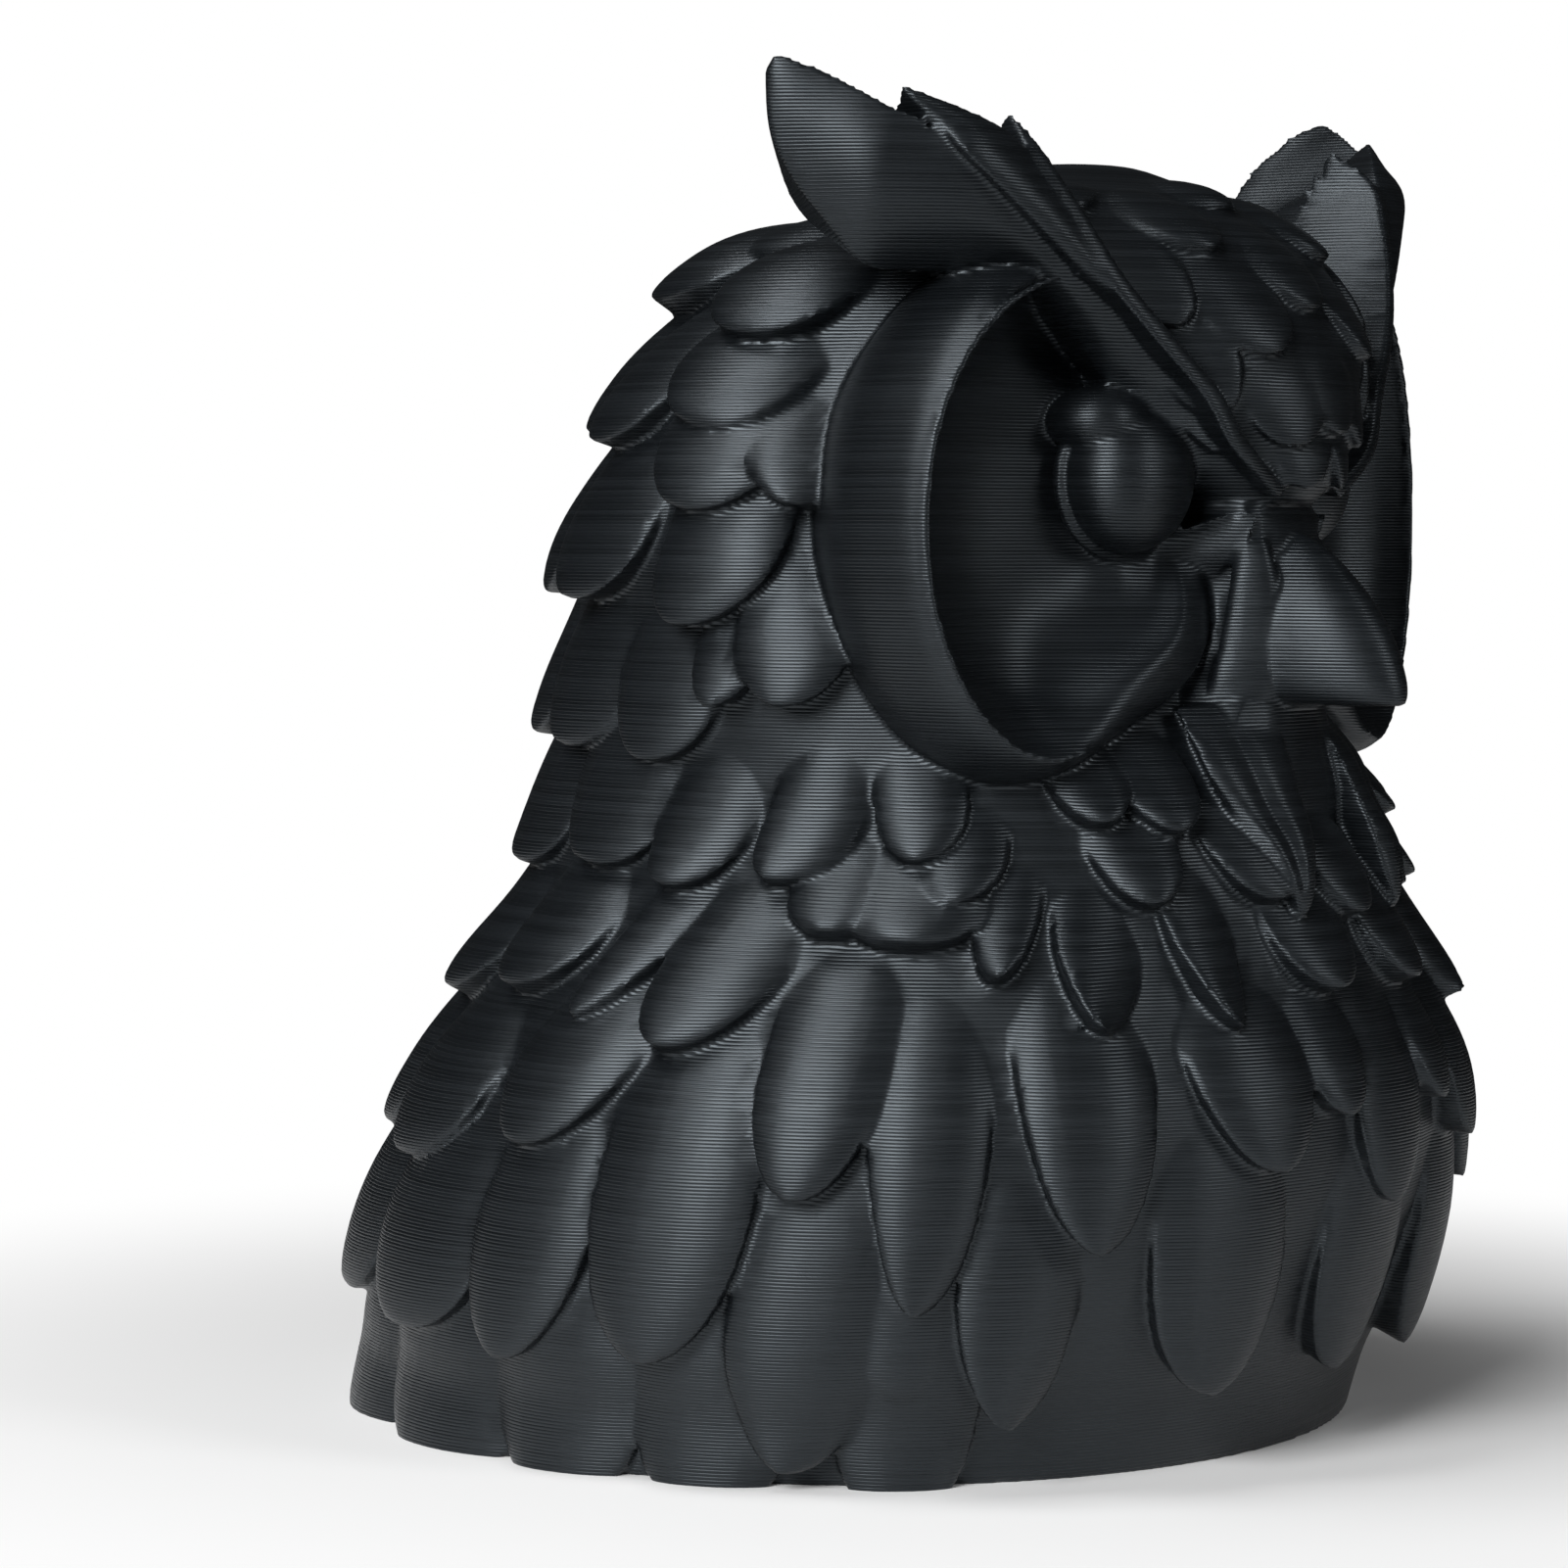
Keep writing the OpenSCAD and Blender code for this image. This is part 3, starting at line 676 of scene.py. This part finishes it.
@dataclass
class Beard:
    """Thick feather that hangs under the beak on the right, one of a pair."""

    ridge: float = 1.6

    def shell(self) -> Shell:
        """The feather, with two ridges down its face."""
        rows = [
            [[-3.6, -46, 67], [-12, -42.5, 66.5], [-6, -40, 66], 0],
            [[-4, -49, 63], [-12.8, -46, 61.5], [-6, -42, 61], 0.4],
            [[-4.6, -51.2, 58.4], [-11.6, -48.2, 57.5], [-6, -44, 57], 0.5],
            [[-5, -52.6, 55.2], [-10.5, -50.9, 54.1], [-6.5, -45.5, 53.6], 0.6],
            [[-6, -53.4, 51.6], [-9.4, -52.4, 51.3], [-7, -47, 51.2], 0.5],
            [[-7.2, -53.6, 49.2], [-8.8, -53, 49.4], [-7.5, -49, 49.6], 0.2],
            [[-8, -53.2, 48.3], [-8.5, -53, 48.5], [-8, -51.5, 48.6], 0],
        ]
        return plume(rows, [-0.8, -0.6, 0], self.ridge)


@dataclass
class Brow:
    """Ear tuft and brow of the right side: three long overlapping plumes.

    Each row of a plume: upper edge, lower edge, root behind, and swell of the face.
    """

    sizes: OwlSizes

    def shells(self) -> list[Shell]:
        """The outer, middle and inner plume."""
        x, top = self.sizes.tip_x, self.sizes.tuft_z
        outer = [
            [[-9.5, -46.6, 88.6], [-10.5, -45.6, 88.6], [-6, -38, 90], 0],
            [[-13, -45, 93.2], [-13.5, -42, 92], [-9, -33, 95], 0],
            [[-17, -43, 98], [-16, -38.5, 94.2], [-13, -30, 97], 0.5],
            [[-24, -40.6, 103.2], [-21, -37.2, 99.5], [-17, -27, 101], 0.9],
            [[-30, -38.6, 108.4], [-26, -35, 103.6], [-21, -23, 104], 1.4],
            [[-35, -36.6, 112.8], [-33, -30, 104], [-26, -20, 106], 1.8],
            [[x + 7, -33.5, top - 5.5], [x + 7.5, -27.6, 104.4], [x + 13, -18.5, 108], 1.9],
            [[x + 5.5, -32, top - 4.6], [x + 4.5, -26, 107.6], [x + 10, -17.8, 110.5], 1.6],
            [[x + 3, -28, top - 2], [x + 2, -24, 111.5], [x + 8.4, -17.6, 113.5], 0.8],
            [[x + 1.4, -25.5, top - 0.8], [x + 0.4, -22.8, 115.5], [x + 5.6, -18.6, 117.2], 0.4],
            [[x + 0.2, -23.6, top], [x, -22.6, top - 1.6], [x + 2.4, -21.2, top - 1.2], 0.1],
        ]
        middle = [
            [[-8, -48.4, 87.2], [-9, -47.8, 87.6], [-6, -41, 88], 0],
            [[-11.6, -48, 90], [-10.8, -47, 89.6], [-8, -39, 90], 0],
            [[-13.8, -47, 93.6], [-13.9, -45.4, 93.7], [-10, -37, 94], 0.2],
            [[-18.6, -45.2, 98.8], [-18.3, -43.8, 98.4], [-14, -35, 99], 0.4],
            [[-23.2, -43.2, 104], [-25.6, -41.6, 103.8], [-18, -32, 104], 0.7],
            [[-26.4, -41, 109.4], [-31.6, -39.7, 108.9], [-23, -29, 108], 0.8],
            [[-30, -38.2, 114.8], [-36.4, -37.5, 113.3], [-29, -27, 112], 0.8],
            [[-33, -36, 117], [x + 8, -34.8, 116], [-34, -27, 114], 0.6],
            [[x + 6, -32, top - 2.6], [x + 6.6, -33, top - 3.8], [x + 7.6, -30.6, top - 4.4], 0.1],
        ]
        inner = [
            [[-4, -49, 85.6], [-5.4, -48.8, 84.6], [-4, -41, 87], 0.2],
            [[-8.2, -49.2, 88], [-9.4, -48.8, 87], [-6, -41, 89], 0.2],
            [[-11, -48.8, 90.4], [-12.6, -48.4, 89.4], [-9, -40, 92], 0.2],
            [[-13.6, -47.8, 94.4], [-15.2, -47.4, 93.4], [-11, -39, 95], 0.2],
            [[-18.4, -46, 99], [-19.8, -45.6, 98], [-15, -37, 99], 0.2],
            [[-22.4, -44, 103.6], [-23.8, -43.6, 102.6], [-18, -34, 103], 0.2],
            [[-25.4, -41.8, 109], [-26.8, -41.4, 108], [-21, -32, 107], 0.2],
            [[-27.8, -39, 114.4], [-29.4, -39, 113.4], [-25, -31, 111], 0.1],
            [[-26.6, -35, top - 4.2], [-27.2, -35.2, top - 4.8], [-26.8, -33.6, top - 5.6], 0],
        ]
        return [
            plume(outer, [-0.8, -0.6, 0]),
            plume(middle, [-0.75, -0.65, 0.1]),
            plume(inner, [-0.6, -0.8, 0.1]),
        ]


@dataclass
class Beak:
    """Hooked beak, the bridge between the discs that it grows from, and what lies beside them."""

    sizes: OwlSizes

    def beak(self) -> Shell:
        """The beak: each ring runs from the ridge round the side to the root, level by level."""
        z = self.sizes
        top = z.beak_tip_z + z.beak_h
        h, w, reach = z.beak_h, z.beak_w, z.beak_reach
        rows = smooth_rows(np.array([
            [top, reach - 10.3, 1.2, reach - 14],
            [top - h * 0.12, reach - 7.6, w * 0.22, reach - 16],
            [top - h * 0.35, reach - 4.2, w * 0.37, reach - 18],
            [top - h * 0.6, reach - 1.7, w * 0.42, reach - 18],
            [top - h * 0.85, reach - 0.3, w * 0.4, reach - 18],
            [z.beak_tip_z + 0.4, reach - 0.2, w * 0.28, reach - 14],
            [z.beak_tip_z, reach - 0.6, w * 0.14, reach - 10],
        ]), 8)
        up, ridge, half, root = (rows[:, k, None] for k in range(4))
        a = np.linspace(-math.pi / 2, math.pi / 2, 25)[None, :]
        x = np.sin(a) * half
        y = -(root + (ridge - root) * np.abs(np.cos(a)) ** 0.8)
        return Shell.from_rings(np.stack([x, y, up + 0 * a], -1))

    def bridge(self) -> Shell:
        """The bridge from the brow down to the throat, with a flat middle and falling flanks."""
        face = self.sizes.head_z
        rows = smooth_rows(np.array([
            [face + 1, 45, 4, 42],
            [face - 3, 47.4, 6, 46],
            [face - 8, 48, 5.2, 42.6],
            [face - 13, 48.4, 5.6, 42.4],
            [face - 18, 48.4, 8, 42.5],
            [face - 23, 48.8, 11, 41],
            [face - 28, 49.6, 12, 40.5],
            [face - 34, 48, 12, 39],
            [face - 38, 42, 11, 36],
        ]), 6)
        up, front, half, flank = (rows[:, k, None] for k in range(4))
        share = np.array([[-1.0, -1.0, -0.8, -0.5, -0.2, 0.2, 0.5, 0.8, 1.0, 1.0]])
        wide = np.array([[-2.5, 0, 0, 0, 0, 0, 0, 0, 0, 2.5]])
        y = -(flank + (front - flank) * np.sqrt(np.maximum(0, 1 - np.abs(share) ** 2.5)))
        y[:, 0] = y[:, -1] = -30
        return Shell.from_rings(np.stack([share * half + wide, y, up + 0 * share], -1))

    def cere(self) -> Shell:
        """Swelling beside the right of the beak's root, which widens downwards.

        Each row: height, place of its right edge and of its left edge. A level ring is a rounded
        box between them, from a power of the cosine and sine.
        """
        face = self.sizes.head_z
        rows = smooth_rows(np.array([
            [face - 5, -4.2, -47.2, -5.6, -44.8],
            [face - 8, -4, -48, -6.2, -44.6],
            [face - 11, -4, -48.2, -6.6, -44.3],
            [face - 14, -4, -48.4, -7, -43.9],
            [face - 17, -4.2, -48.2, -7.6, -43.4],
            [face - 20, -4.6, -47, -7.6, -42.2],
            [face - 24, -5, -44, -7.2, -40.5],
        ]), 6)
        up, right, left = rows[:, :1], rows[:, None, 1:3], rows[:, None, 3:5]
        a = circle(28)[None, :, None]
        along, out = np.cos(a), np.sin(a)
        across = np.stack([-(right - left)[..., 1], (right - left)[..., 0]], -1)
        flat = ((right + left) / 2 + (right - left) / 2 * np.sign(along) * np.abs(along) ** 0.7
                - unit(across) * np.sign(out) * np.abs(out) ** 0.9)
        level = np.broadcast_to(up[:, None], flat.shape[:2] + (1,))
        return Shell.from_rings(np.concatenate([flat, level], -1))

    def ramp(self) -> Shell:
        """Slope from the bowl's floor up to the bridge, under the right brow.

        Each row: its edge at the bridge, its foot on the floor and a buried point behind.
        """
        face = self.sizes.head_z
        rows = smooth_rows(np.array([
            [[-6, -47.2, face - 2.2], [-7.6, -44.4, face - 2.8], [-4, -38, face - 3]],
            [[-6, -47.2, face - 3], [-9, -42, face - 3.8], [-4, -38, face - 3.6]],
            [[-6, -46.6, face - 4.4], [-9.8, -38.8, face - 5], [-4, -36, face - 5]],
            [[-6.2, -45.8, face - 6], [-9.8, -38.4, face - 6.4], [-4, -36, face - 6.4]],
            [[-5.8, -43.6, face - 7.4], [-9.4, -38, face - 8], [-4, -36, face - 8]],
            [[-5.4, -41, face - 8.6], [-8.6, -37.6, face - 9.4], [-4, -36, face - 9.4]],
        ]), 6)
        corner, foot, behind = rows[:, :1], rows[:, 1:2], rows[:, 2:]
        k = np.linspace(0, 1, 7)[None, :, None]
        sag = np.array([0.9, 0.4, 0.0]) * np.sin(math.pi * k)
        return Shell.from_rings(np.concatenate([corner + (foot - corner) * k + sag, behind], 1))

    def shells(self) -> list[Shell]:
        """Beak and bridge, with the swelling and the slope on either side."""
        return [self.beak(), self.bridge()] + both_sides([self.cere(), self.ramp()])


@dataclass
class Socket:
    """What is cut away: the blind ball socket, and all below the base plane."""

    sizes: OwlSizes
    slab_r: float = 90.0
    slab_t: float = 30.0

    def shell(self, around: int = 192) -> Shell:
        """One revolved profile: a broad slab below the base, the straight bore and its dome."""
        z = self.sizes
        r = z.socket_r
        arc = np.linspace(0, math.pi / 2 * 0.985, 40)
        radius = np.concatenate([[self.slab_r, self.slab_r, r], r * np.cos(arc)])[:, None]
        height = np.concatenate([[-self.slab_t, 0.0, 0.0], z.socket_depth + r * np.sin(arc)])[:, None]
        a = circle(around)[None, :]
        return Shell.from_rings(np.stack([radius * np.cos(a), radius * np.sin(a), height + 0 * a], -1))


@dataclass
class Carver:
    """Makes one closed mesh from all the shells."""

    voxel: float = 0.35
    quick_voxel: float = 0.45
    soften: float = 0.5
    most_triangles: int = 180000

    def mesh(self, shell: Shell, name: str) -> bpy.types.Object:
        """A Blender object from a shell, in metres."""
        mesh = bpy.data.meshes.new(name)
        mesh.vertices.add(len(shell.points))
        mesh.vertices.foreach_set("co", (shell.points * MM).astype(np.float32).ravel())
        mesh.loops.add(3 * len(shell.faces))
        mesh.loops.foreach_set("vertex_index", shell.faces.astype(np.int32).ravel())
        mesh.polygons.add(len(shell.faces))
        mesh.polygons.foreach_set("loop_start", np.arange(0, 3 * len(shell.faces), 3, dtype=np.int32))
        mesh.update(calc_edges=True)
        obj = bpy.data.objects.new(name, mesh)
        bpy.context.scene.collection.objects.link(obj)
        return obj

    def apply(self, obj: bpy.types.Object) -> None:
        """Takes the result of an object's modifiers as its mesh."""
        depsgraph = bpy.context.evaluated_depsgraph_get()
        mesh = bpy.data.meshes.new_from_object(obj.evaluated_get(depsgraph))
        obj.modifiers.clear()
        old = obj.data
        obj.data = mesh
        bpy.data.meshes.remove(old)

    def keep_largest(self, obj: bpy.types.Object) -> None:
        """Deletes the specks that aren't joined to the largest part.

        Each point starts with its own number. Both ends of an edge take the lesser of their two
        numbers, over and over, until every point of a part holds the same one.
        """
        ends = np.empty(2 * len(obj.data.edges), dtype=np.int32)
        obj.data.edges.foreach_get("vertices", ends)
        a, b = ends.reshape(-1, 2).T
        part = np.arange(len(obj.data.vertices))
        last = None
        while not np.array_equal(part, last):
            last = part
            part = last.copy()
            np.minimum.at(part, last[a], last[b])
            np.minimum.at(part, last[b], last[a])
            part = part[part]
        largest = np.bincount(part).argmax()
        work = bmesh.new()
        work.from_mesh(obj.data)
        specks = [v for v in work.verts if part[v.index] != largest]
        log.info("%s: %d points of specks deleted", obj.name, len(specks))
        bmesh.ops.delete(work, geom=specks, context="VERTS")
        work.to_mesh(obj.data)
        work.free()

    def carve(self, shells: list[Shell], cutter: Shell, name: str) -> bpy.types.Object:
        """Fuses the shells, softens the creases, thins the mesh, cuts the socket and drops specks.

        Args:
            shells: closed shells that may overlap.
            cutter: what is taken away.
            name: the piece's name.

        Returns:
            The finished object.
        """
        obj = self.mesh(join(shells), name)
        fuse = obj.modifiers.new("fuse", "REMESH")
        fuse.mode = "VOXEL"
        fuse.voxel_size = self.voxel * MM
        fuse.adaptivity = 0.0
        self.apply(obj)
        soften = obj.modifiers.new("soften", "SMOOTH")
        soften.factor = self.soften
        soften.iterations = 1
        self.apply(obj)
        faces = 2 * len(obj.data.polygons)
        thin = obj.modifiers.new("thin", "DECIMATE")
        thin.ratio = min(1.0, self.most_triangles / faces)
        self.apply(obj)
        knife = self.mesh(cutter, "knife")
        cut = obj.modifiers.new("cut", "BOOLEAN")
        cut.operation = "DIFFERENCE"
        cut.solver = "MANIFOLD"
        cut.object = knife
        self.apply(obj)
        bpy.data.objects.remove(knife)
        self.keep_largest(obj)
        obj.data.name = name
        return obj


def shade(obj: bpy.types.Object, angle: float) -> None:
    """Smooth shading with sharp edges where faces meet at more than the angle, in degrees."""
    mesh = obj.data
    mesh.polygons.foreach_set("use_smooth", np.ones(len(mesh.polygons), dtype=bool))
    mesh.set_sharp_from_angle(angle=math.radians(angle))


@dataclass(frozen=True)
class LayerLines:
    """Fine level lines that printing leaves, as a node group."""

    pitch: float = 0.0003
    name: str = "layer lines"

    def group(self) -> bpy.types.NodeTree:
        """Builds the group once.

        The height is a rounded bead for each layer: the square root of one minus the square of
        the place within the layer, from minus one to one. A second output is a random value for
        each layer, which follows from the layer's number.

        Returns:
            The node group, with outputs Height and Layer.
        """
        tree = bpy.data.node_groups.new(self.name, "ShaderNodeTree")
        pitch = tree.interface.new_socket("Pitch", in_out="INPUT", socket_type="NodeSocketFloat")
        pitch.default_value = self.pitch
        tree.interface.new_socket("Height", in_out="OUTPUT", socket_type="NodeSocketFloat")
        tree.interface.new_socket("Layer", in_out="OUTPUT", socket_type="NodeSocketFloat")
        nodes, links = tree.nodes, tree.links
        given = nodes.new("NodeGroupInput")
        out = nodes.new("NodeGroupOutput")
        coords = nodes.new("ShaderNodeTexCoord")
        split = nodes.new("ShaderNodeSeparateXYZ")
        links.new(coords.outputs["Object"], split.inputs[0])
        count = self.math(tree, "DIVIDE", split.outputs["Z"], given.outputs["Pitch"])
        place = self.math(tree, "FRACT", count)
        centred = self.math(tree, "MULTIPLY_ADD", place, 2.0, -1.0)
        square = self.math(tree, "MULTIPLY", centred, centred)
        rest = self.math(tree, "SUBTRACT", 1.0, square)
        bead = self.math(tree, "SQRT", rest)
        links.new(bead, out.inputs["Height"])
        number = self.math(tree, "FLOOR", count)
        noise = nodes.new("ShaderNodeTexWhiteNoise")
        noise.noise_dimensions = "1D"
        links.new(number, noise.inputs["W"])
        links.new(noise.outputs["Value"], out.inputs["Layer"])
        return tree

    @staticmethod
    def math(tree: bpy.types.NodeTree, operation: str, *values: object) -> bpy.types.NodeSocket:
        """A math node, with each input a number or a socket."""
        node = tree.nodes.new("ShaderNodeMath")
        node.operation = operation
        for socket, value in zip(node.inputs, values):
            if isinstance(value, (int, float)):
                socket.default_value = value
            else:
                tree.links.new(value, socket)
        return node.outputs[0]


@dataclass(frozen=True)
class BlackPlastic:
    """Satin black printed plastic."""

    colour: tuple[float, float, float] = (0.003, 0.0038, 0.0047)
    pale: tuple[float, float, float] = (0.0052, 0.0064, 0.0078)
    sheen_tint: tuple[float, float, float] = (0.82, 0.92, 1.0)
    least_rough: float = 0.36
    most_rough: float = 0.41
    bead: float = 0.00005

    def material(self, lines: LayerLines) -> bpy.types.Material:
        """The plastic with its layer lines.

        Args:
            lines: the effect that gives the layers.

        Returns:
            The material.
        """
        material = bpy.data.materials.new("satin_black_print")
        material.use_nodes = True
        tree = material.node_tree
        shader = tree.nodes["Principled BSDF"]
        shader.inputs["Specular Tint"].default_value = (*self.sheen_tint, 1)
        layers = tree.nodes.new("ShaderNodeGroup")
        layers.node_tree = lines.group()
        mix = tree.nodes.new("ShaderNodeMix")
        mix.data_type = "RGBA"
        mix.inputs["A"].default_value = (*self.colour, 1)
        mix.inputs["B"].default_value = (*self.pale, 1)
        tree.links.new(layers.outputs["Layer"], mix.inputs["Factor"])
        tree.links.new(mix.outputs["Result"], shader.inputs["Base Color"])
        rough = tree.nodes.new("ShaderNodeMapRange")
        rough.inputs["To Min"].default_value = self.least_rough
        rough.inputs["To Max"].default_value = self.most_rough
        tree.links.new(layers.outputs["Layer"], rough.inputs["Value"])
        tree.links.new(rough.outputs["Result"], shader.inputs["Roughness"])
        bump = tree.nodes.new("ShaderNodeBump")
        bump.inputs["Strength"].default_value = 1.0
        bump.inputs["Distance"].default_value = self.bead
        tree.links.new(layers.outputs["Height"], bump.inputs["Height"])
        tree.links.new(bump.outputs["Normal"], shader.inputs["Normal"])
        return material


@dataclass(frozen=True)
class Lamp:
    """A square soft lamp.

    Its place is so far to the camera's right, away from the camera and up, in metres. Its size
    is in metres too, and its power in watts.
    """

    name: str
    aside: float
    away: float
    up: float
    size: float
    power: float


LAMPS = (
    Lamp("left_lamp", -0.36, -0.66, 0.44, 0.42, 8.2),
    Lamp("right_lamp", 0.6, -0.4, 0.36, 0.2, 1.3),
    Lamp("top_lamp", -0.3, -0.1, 0.8, 0.3, 2.6),
)


@dataclass
class Stage:
    """Floor, lamps and camera."""

    azimuth: float = -53.0
    pitch: float = 3.2
    focal_px: float = 4850.0
    distance: float = 0.45
    height: float = 0.083
    aside_px: float = 80.0
    frame_px: float = 1601.0
    shadow_from: float = 0.05
    shadow_to: float = 0.16
    floor_r: float = 0.2
    floor_grey: float = 0.88
    floor_rough: float = 0.8
    middle_z: float = 0.06
    surroundings: float = 0.015

    def floor(self) -> bpy.types.Object:
        """A plain pale disc under the part: points by the cosine and sine of an angle.

        The camera sees it turn to plain white away from the part, and the shadow stays.
        """
        a = circle(96)
        points = self.floor_r * np.stack([np.cos(a), np.sin(a), 0 * a], -1)
        mesh = bpy.data.meshes.new("floor")
        mesh.from_pydata([tuple(p) for p in points], [], [tuple(range(len(a)))])
        floor = bpy.data.objects.new("floor", mesh)
        bpy.context.scene.collection.objects.link(floor)
        material = bpy.data.materials.new("pale_floor")
        material.use_nodes = True
        nodes, links = material.node_tree.nodes, material.node_tree.links
        shader = nodes["Principled BSDF"]
        shader.inputs["Base Color"].default_value = (self.floor_grey, self.floor_grey, self.floor_grey, 1)
        shader.inputs["Roughness"].default_value = self.floor_rough
        shader.inputs["Specular IOR Level"].default_value = 0.2
        coords = nodes.new("ShaderNodeTexCoord")
        away = nodes.new("ShaderNodeVectorMath")
        away.operation = "LENGTH"
        links.new(coords.outputs["Object"], away.inputs[0])
        fade = nodes.new("ShaderNodeMapRange")
        fade.interpolation_type = "SMOOTHSTEP"
        fade.inputs["From Min"].default_value = self.shadow_from
        fade.inputs["From Max"].default_value = self.shadow_to
        links.new(away.outputs["Value"], fade.inputs["Value"])
        path = nodes.new("ShaderNodeLightPath")
        seen = nodes.new("ShaderNodeMath")
        seen.operation = "MULTIPLY"
        links.new(path.outputs["Is Camera Ray"], seen.inputs[0])
        links.new(fade.outputs["Result"], seen.inputs[1])
        glow = nodes.new("ShaderNodeEmission")
        mix = nodes.new("ShaderNodeMixShader")
        links.new(seen.outputs[0], mix.inputs["Fac"])
        links.new(shader.outputs["BSDF"], mix.inputs[1])
        links.new(glow.outputs["Emission"], mix.inputs[2])
        links.new(mix.outputs["Shader"], nodes["Material Output"].inputs["Surface"])
        mesh.materials.append(material)
        return floor

    def axes(self) -> tuple[Vector, Vector, Vector, Vector]:
        """Right, up, forward and level forward directions of the camera."""
        a, p = math.radians(self.azimuth), math.radians(self.pitch)
        right = Vector((math.cos(a), math.sin(a), 0))
        level = Vector((-math.sin(a), math.cos(a), 0))
        forward = level * math.cos(p) - Vector((0, 0, 1)) * math.sin(p)
        up = level * math.sin(p) + Vector((0, 0, 1)) * math.cos(p)
        return right, up, forward, level

    def camera(self) -> bpy.types.Object:
        """The camera at the photograph's viewing angle."""
        right, up, forward, level = self.axes()
        aside = self.aside_px / self.focal_px * self.distance
        place = -level * self.distance - right * aside + Vector((0, 0, self.height))
        data = bpy.data.cameras.new("camera")
        data.sensor_width = 36.0
        data.sensor_fit = "HORIZONTAL"
        data.lens = self.focal_px * data.sensor_width / self.frame_px
        data.clip_start = 0.01
        data.clip_end = 20.0
        camera = bpy.data.objects.new("camera", data)
        bpy.context.scene.collection.objects.link(camera)
        camera.matrix_world = Matrix((
            (right.x, up.x, -forward.x, place.x),
            (right.y, up.y, -forward.y, place.y),
            (right.z, up.z, -forward.z, place.z),
            (0, 0, 0, 1),
        ))
        bpy.context.scene.camera = camera
        return camera

    def lamps(self) -> None:
        """Soft studio lamps that look at the middle of the part."""
        right, _, _, level = self.axes()
        for lamp in LAMPS:
            data = bpy.data.lights.new(lamp.name, "AREA")
            data.size = lamp.size
            data.energy = lamp.power
            place = right * lamp.aside + level * lamp.away + Vector((0, 0, lamp.up))
            obj = bpy.data.objects.new(lamp.name, data)
            bpy.context.scene.collection.objects.link(obj)
            obj.location = place
            obj.rotation_euler = (Vector((0, 0, self.middle_z)) - place).to_track_quat("-Z", "Y").to_euler()

    def world(self) -> None:
        """Plain pale surroundings that show as white."""
        world = bpy.data.worlds.new("studio")
        bpy.context.scene.world = world
        world.use_nodes = True
        tree = world.node_tree
        back = tree.nodes["Background"]
        back.inputs["Color"].default_value = (1, 1, 1, 1)
        path = tree.nodes.new("ShaderNodeLightPath")
        level = tree.nodes.new("ShaderNodeMapRange")
        level.inputs["To Min"].default_value = self.surroundings
        level.inputs["To Max"].default_value = 1.0
        tree.links.new(path.outputs["Is Camera Ray"], level.inputs["Value"])
        tree.links.new(level.outputs["Result"], back.inputs["Strength"])

    def build(self) -> None:
        """Everything round the part."""
        self.floor()
        self.camera()
        self.lamps()
        self.world()
        bpy.context.scene.view_settings.view_transform = "Standard"


@dataclass
class OwlCover:
    """The whole cover as one printed piece."""

    sizes: OwlSizes = field(default_factory=OwlSizes)
    crease: float = 50.0

    def shells(self) -> list[Shell]:
        """All shells that make up the carving."""
        body = Body(self.sizes)
        disc = FacialDisc(self.sizes)
        face = [disc.shell(), disc.crest(), Beard().shell()]
        face += Eye(self.sizes).shells() + Brow(self.sizes).shells()
        return body.shells() + Plumage(body).shells() + both_sides(face) + Beak(self.sizes).shells()

    def build(self) -> bpy.types.Object:
        """The finished piece, dressed and tied to the frame."""
        obj = Carver().carve(self.shells(), Socket(self.sizes).shell(), "owl_bust")
        shade(obj, self.crease)
        obj.data.materials.clear()
        obj.data.materials.append(BlackPlastic().material(LayerLines()))
        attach(obj, BODY)
        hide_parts(NODE)
        log.info("%s: %d faces", obj.name, len(obj.data.polygons))
        return obj


def main() -> None:
    """Builds the cover and its stage."""
    logging.basicConfig(level=logging.INFO, format="%(name)s: %(message)s")
    OwlCover().build()
    Stage().build()


if __name__ == "__main__":
    main()
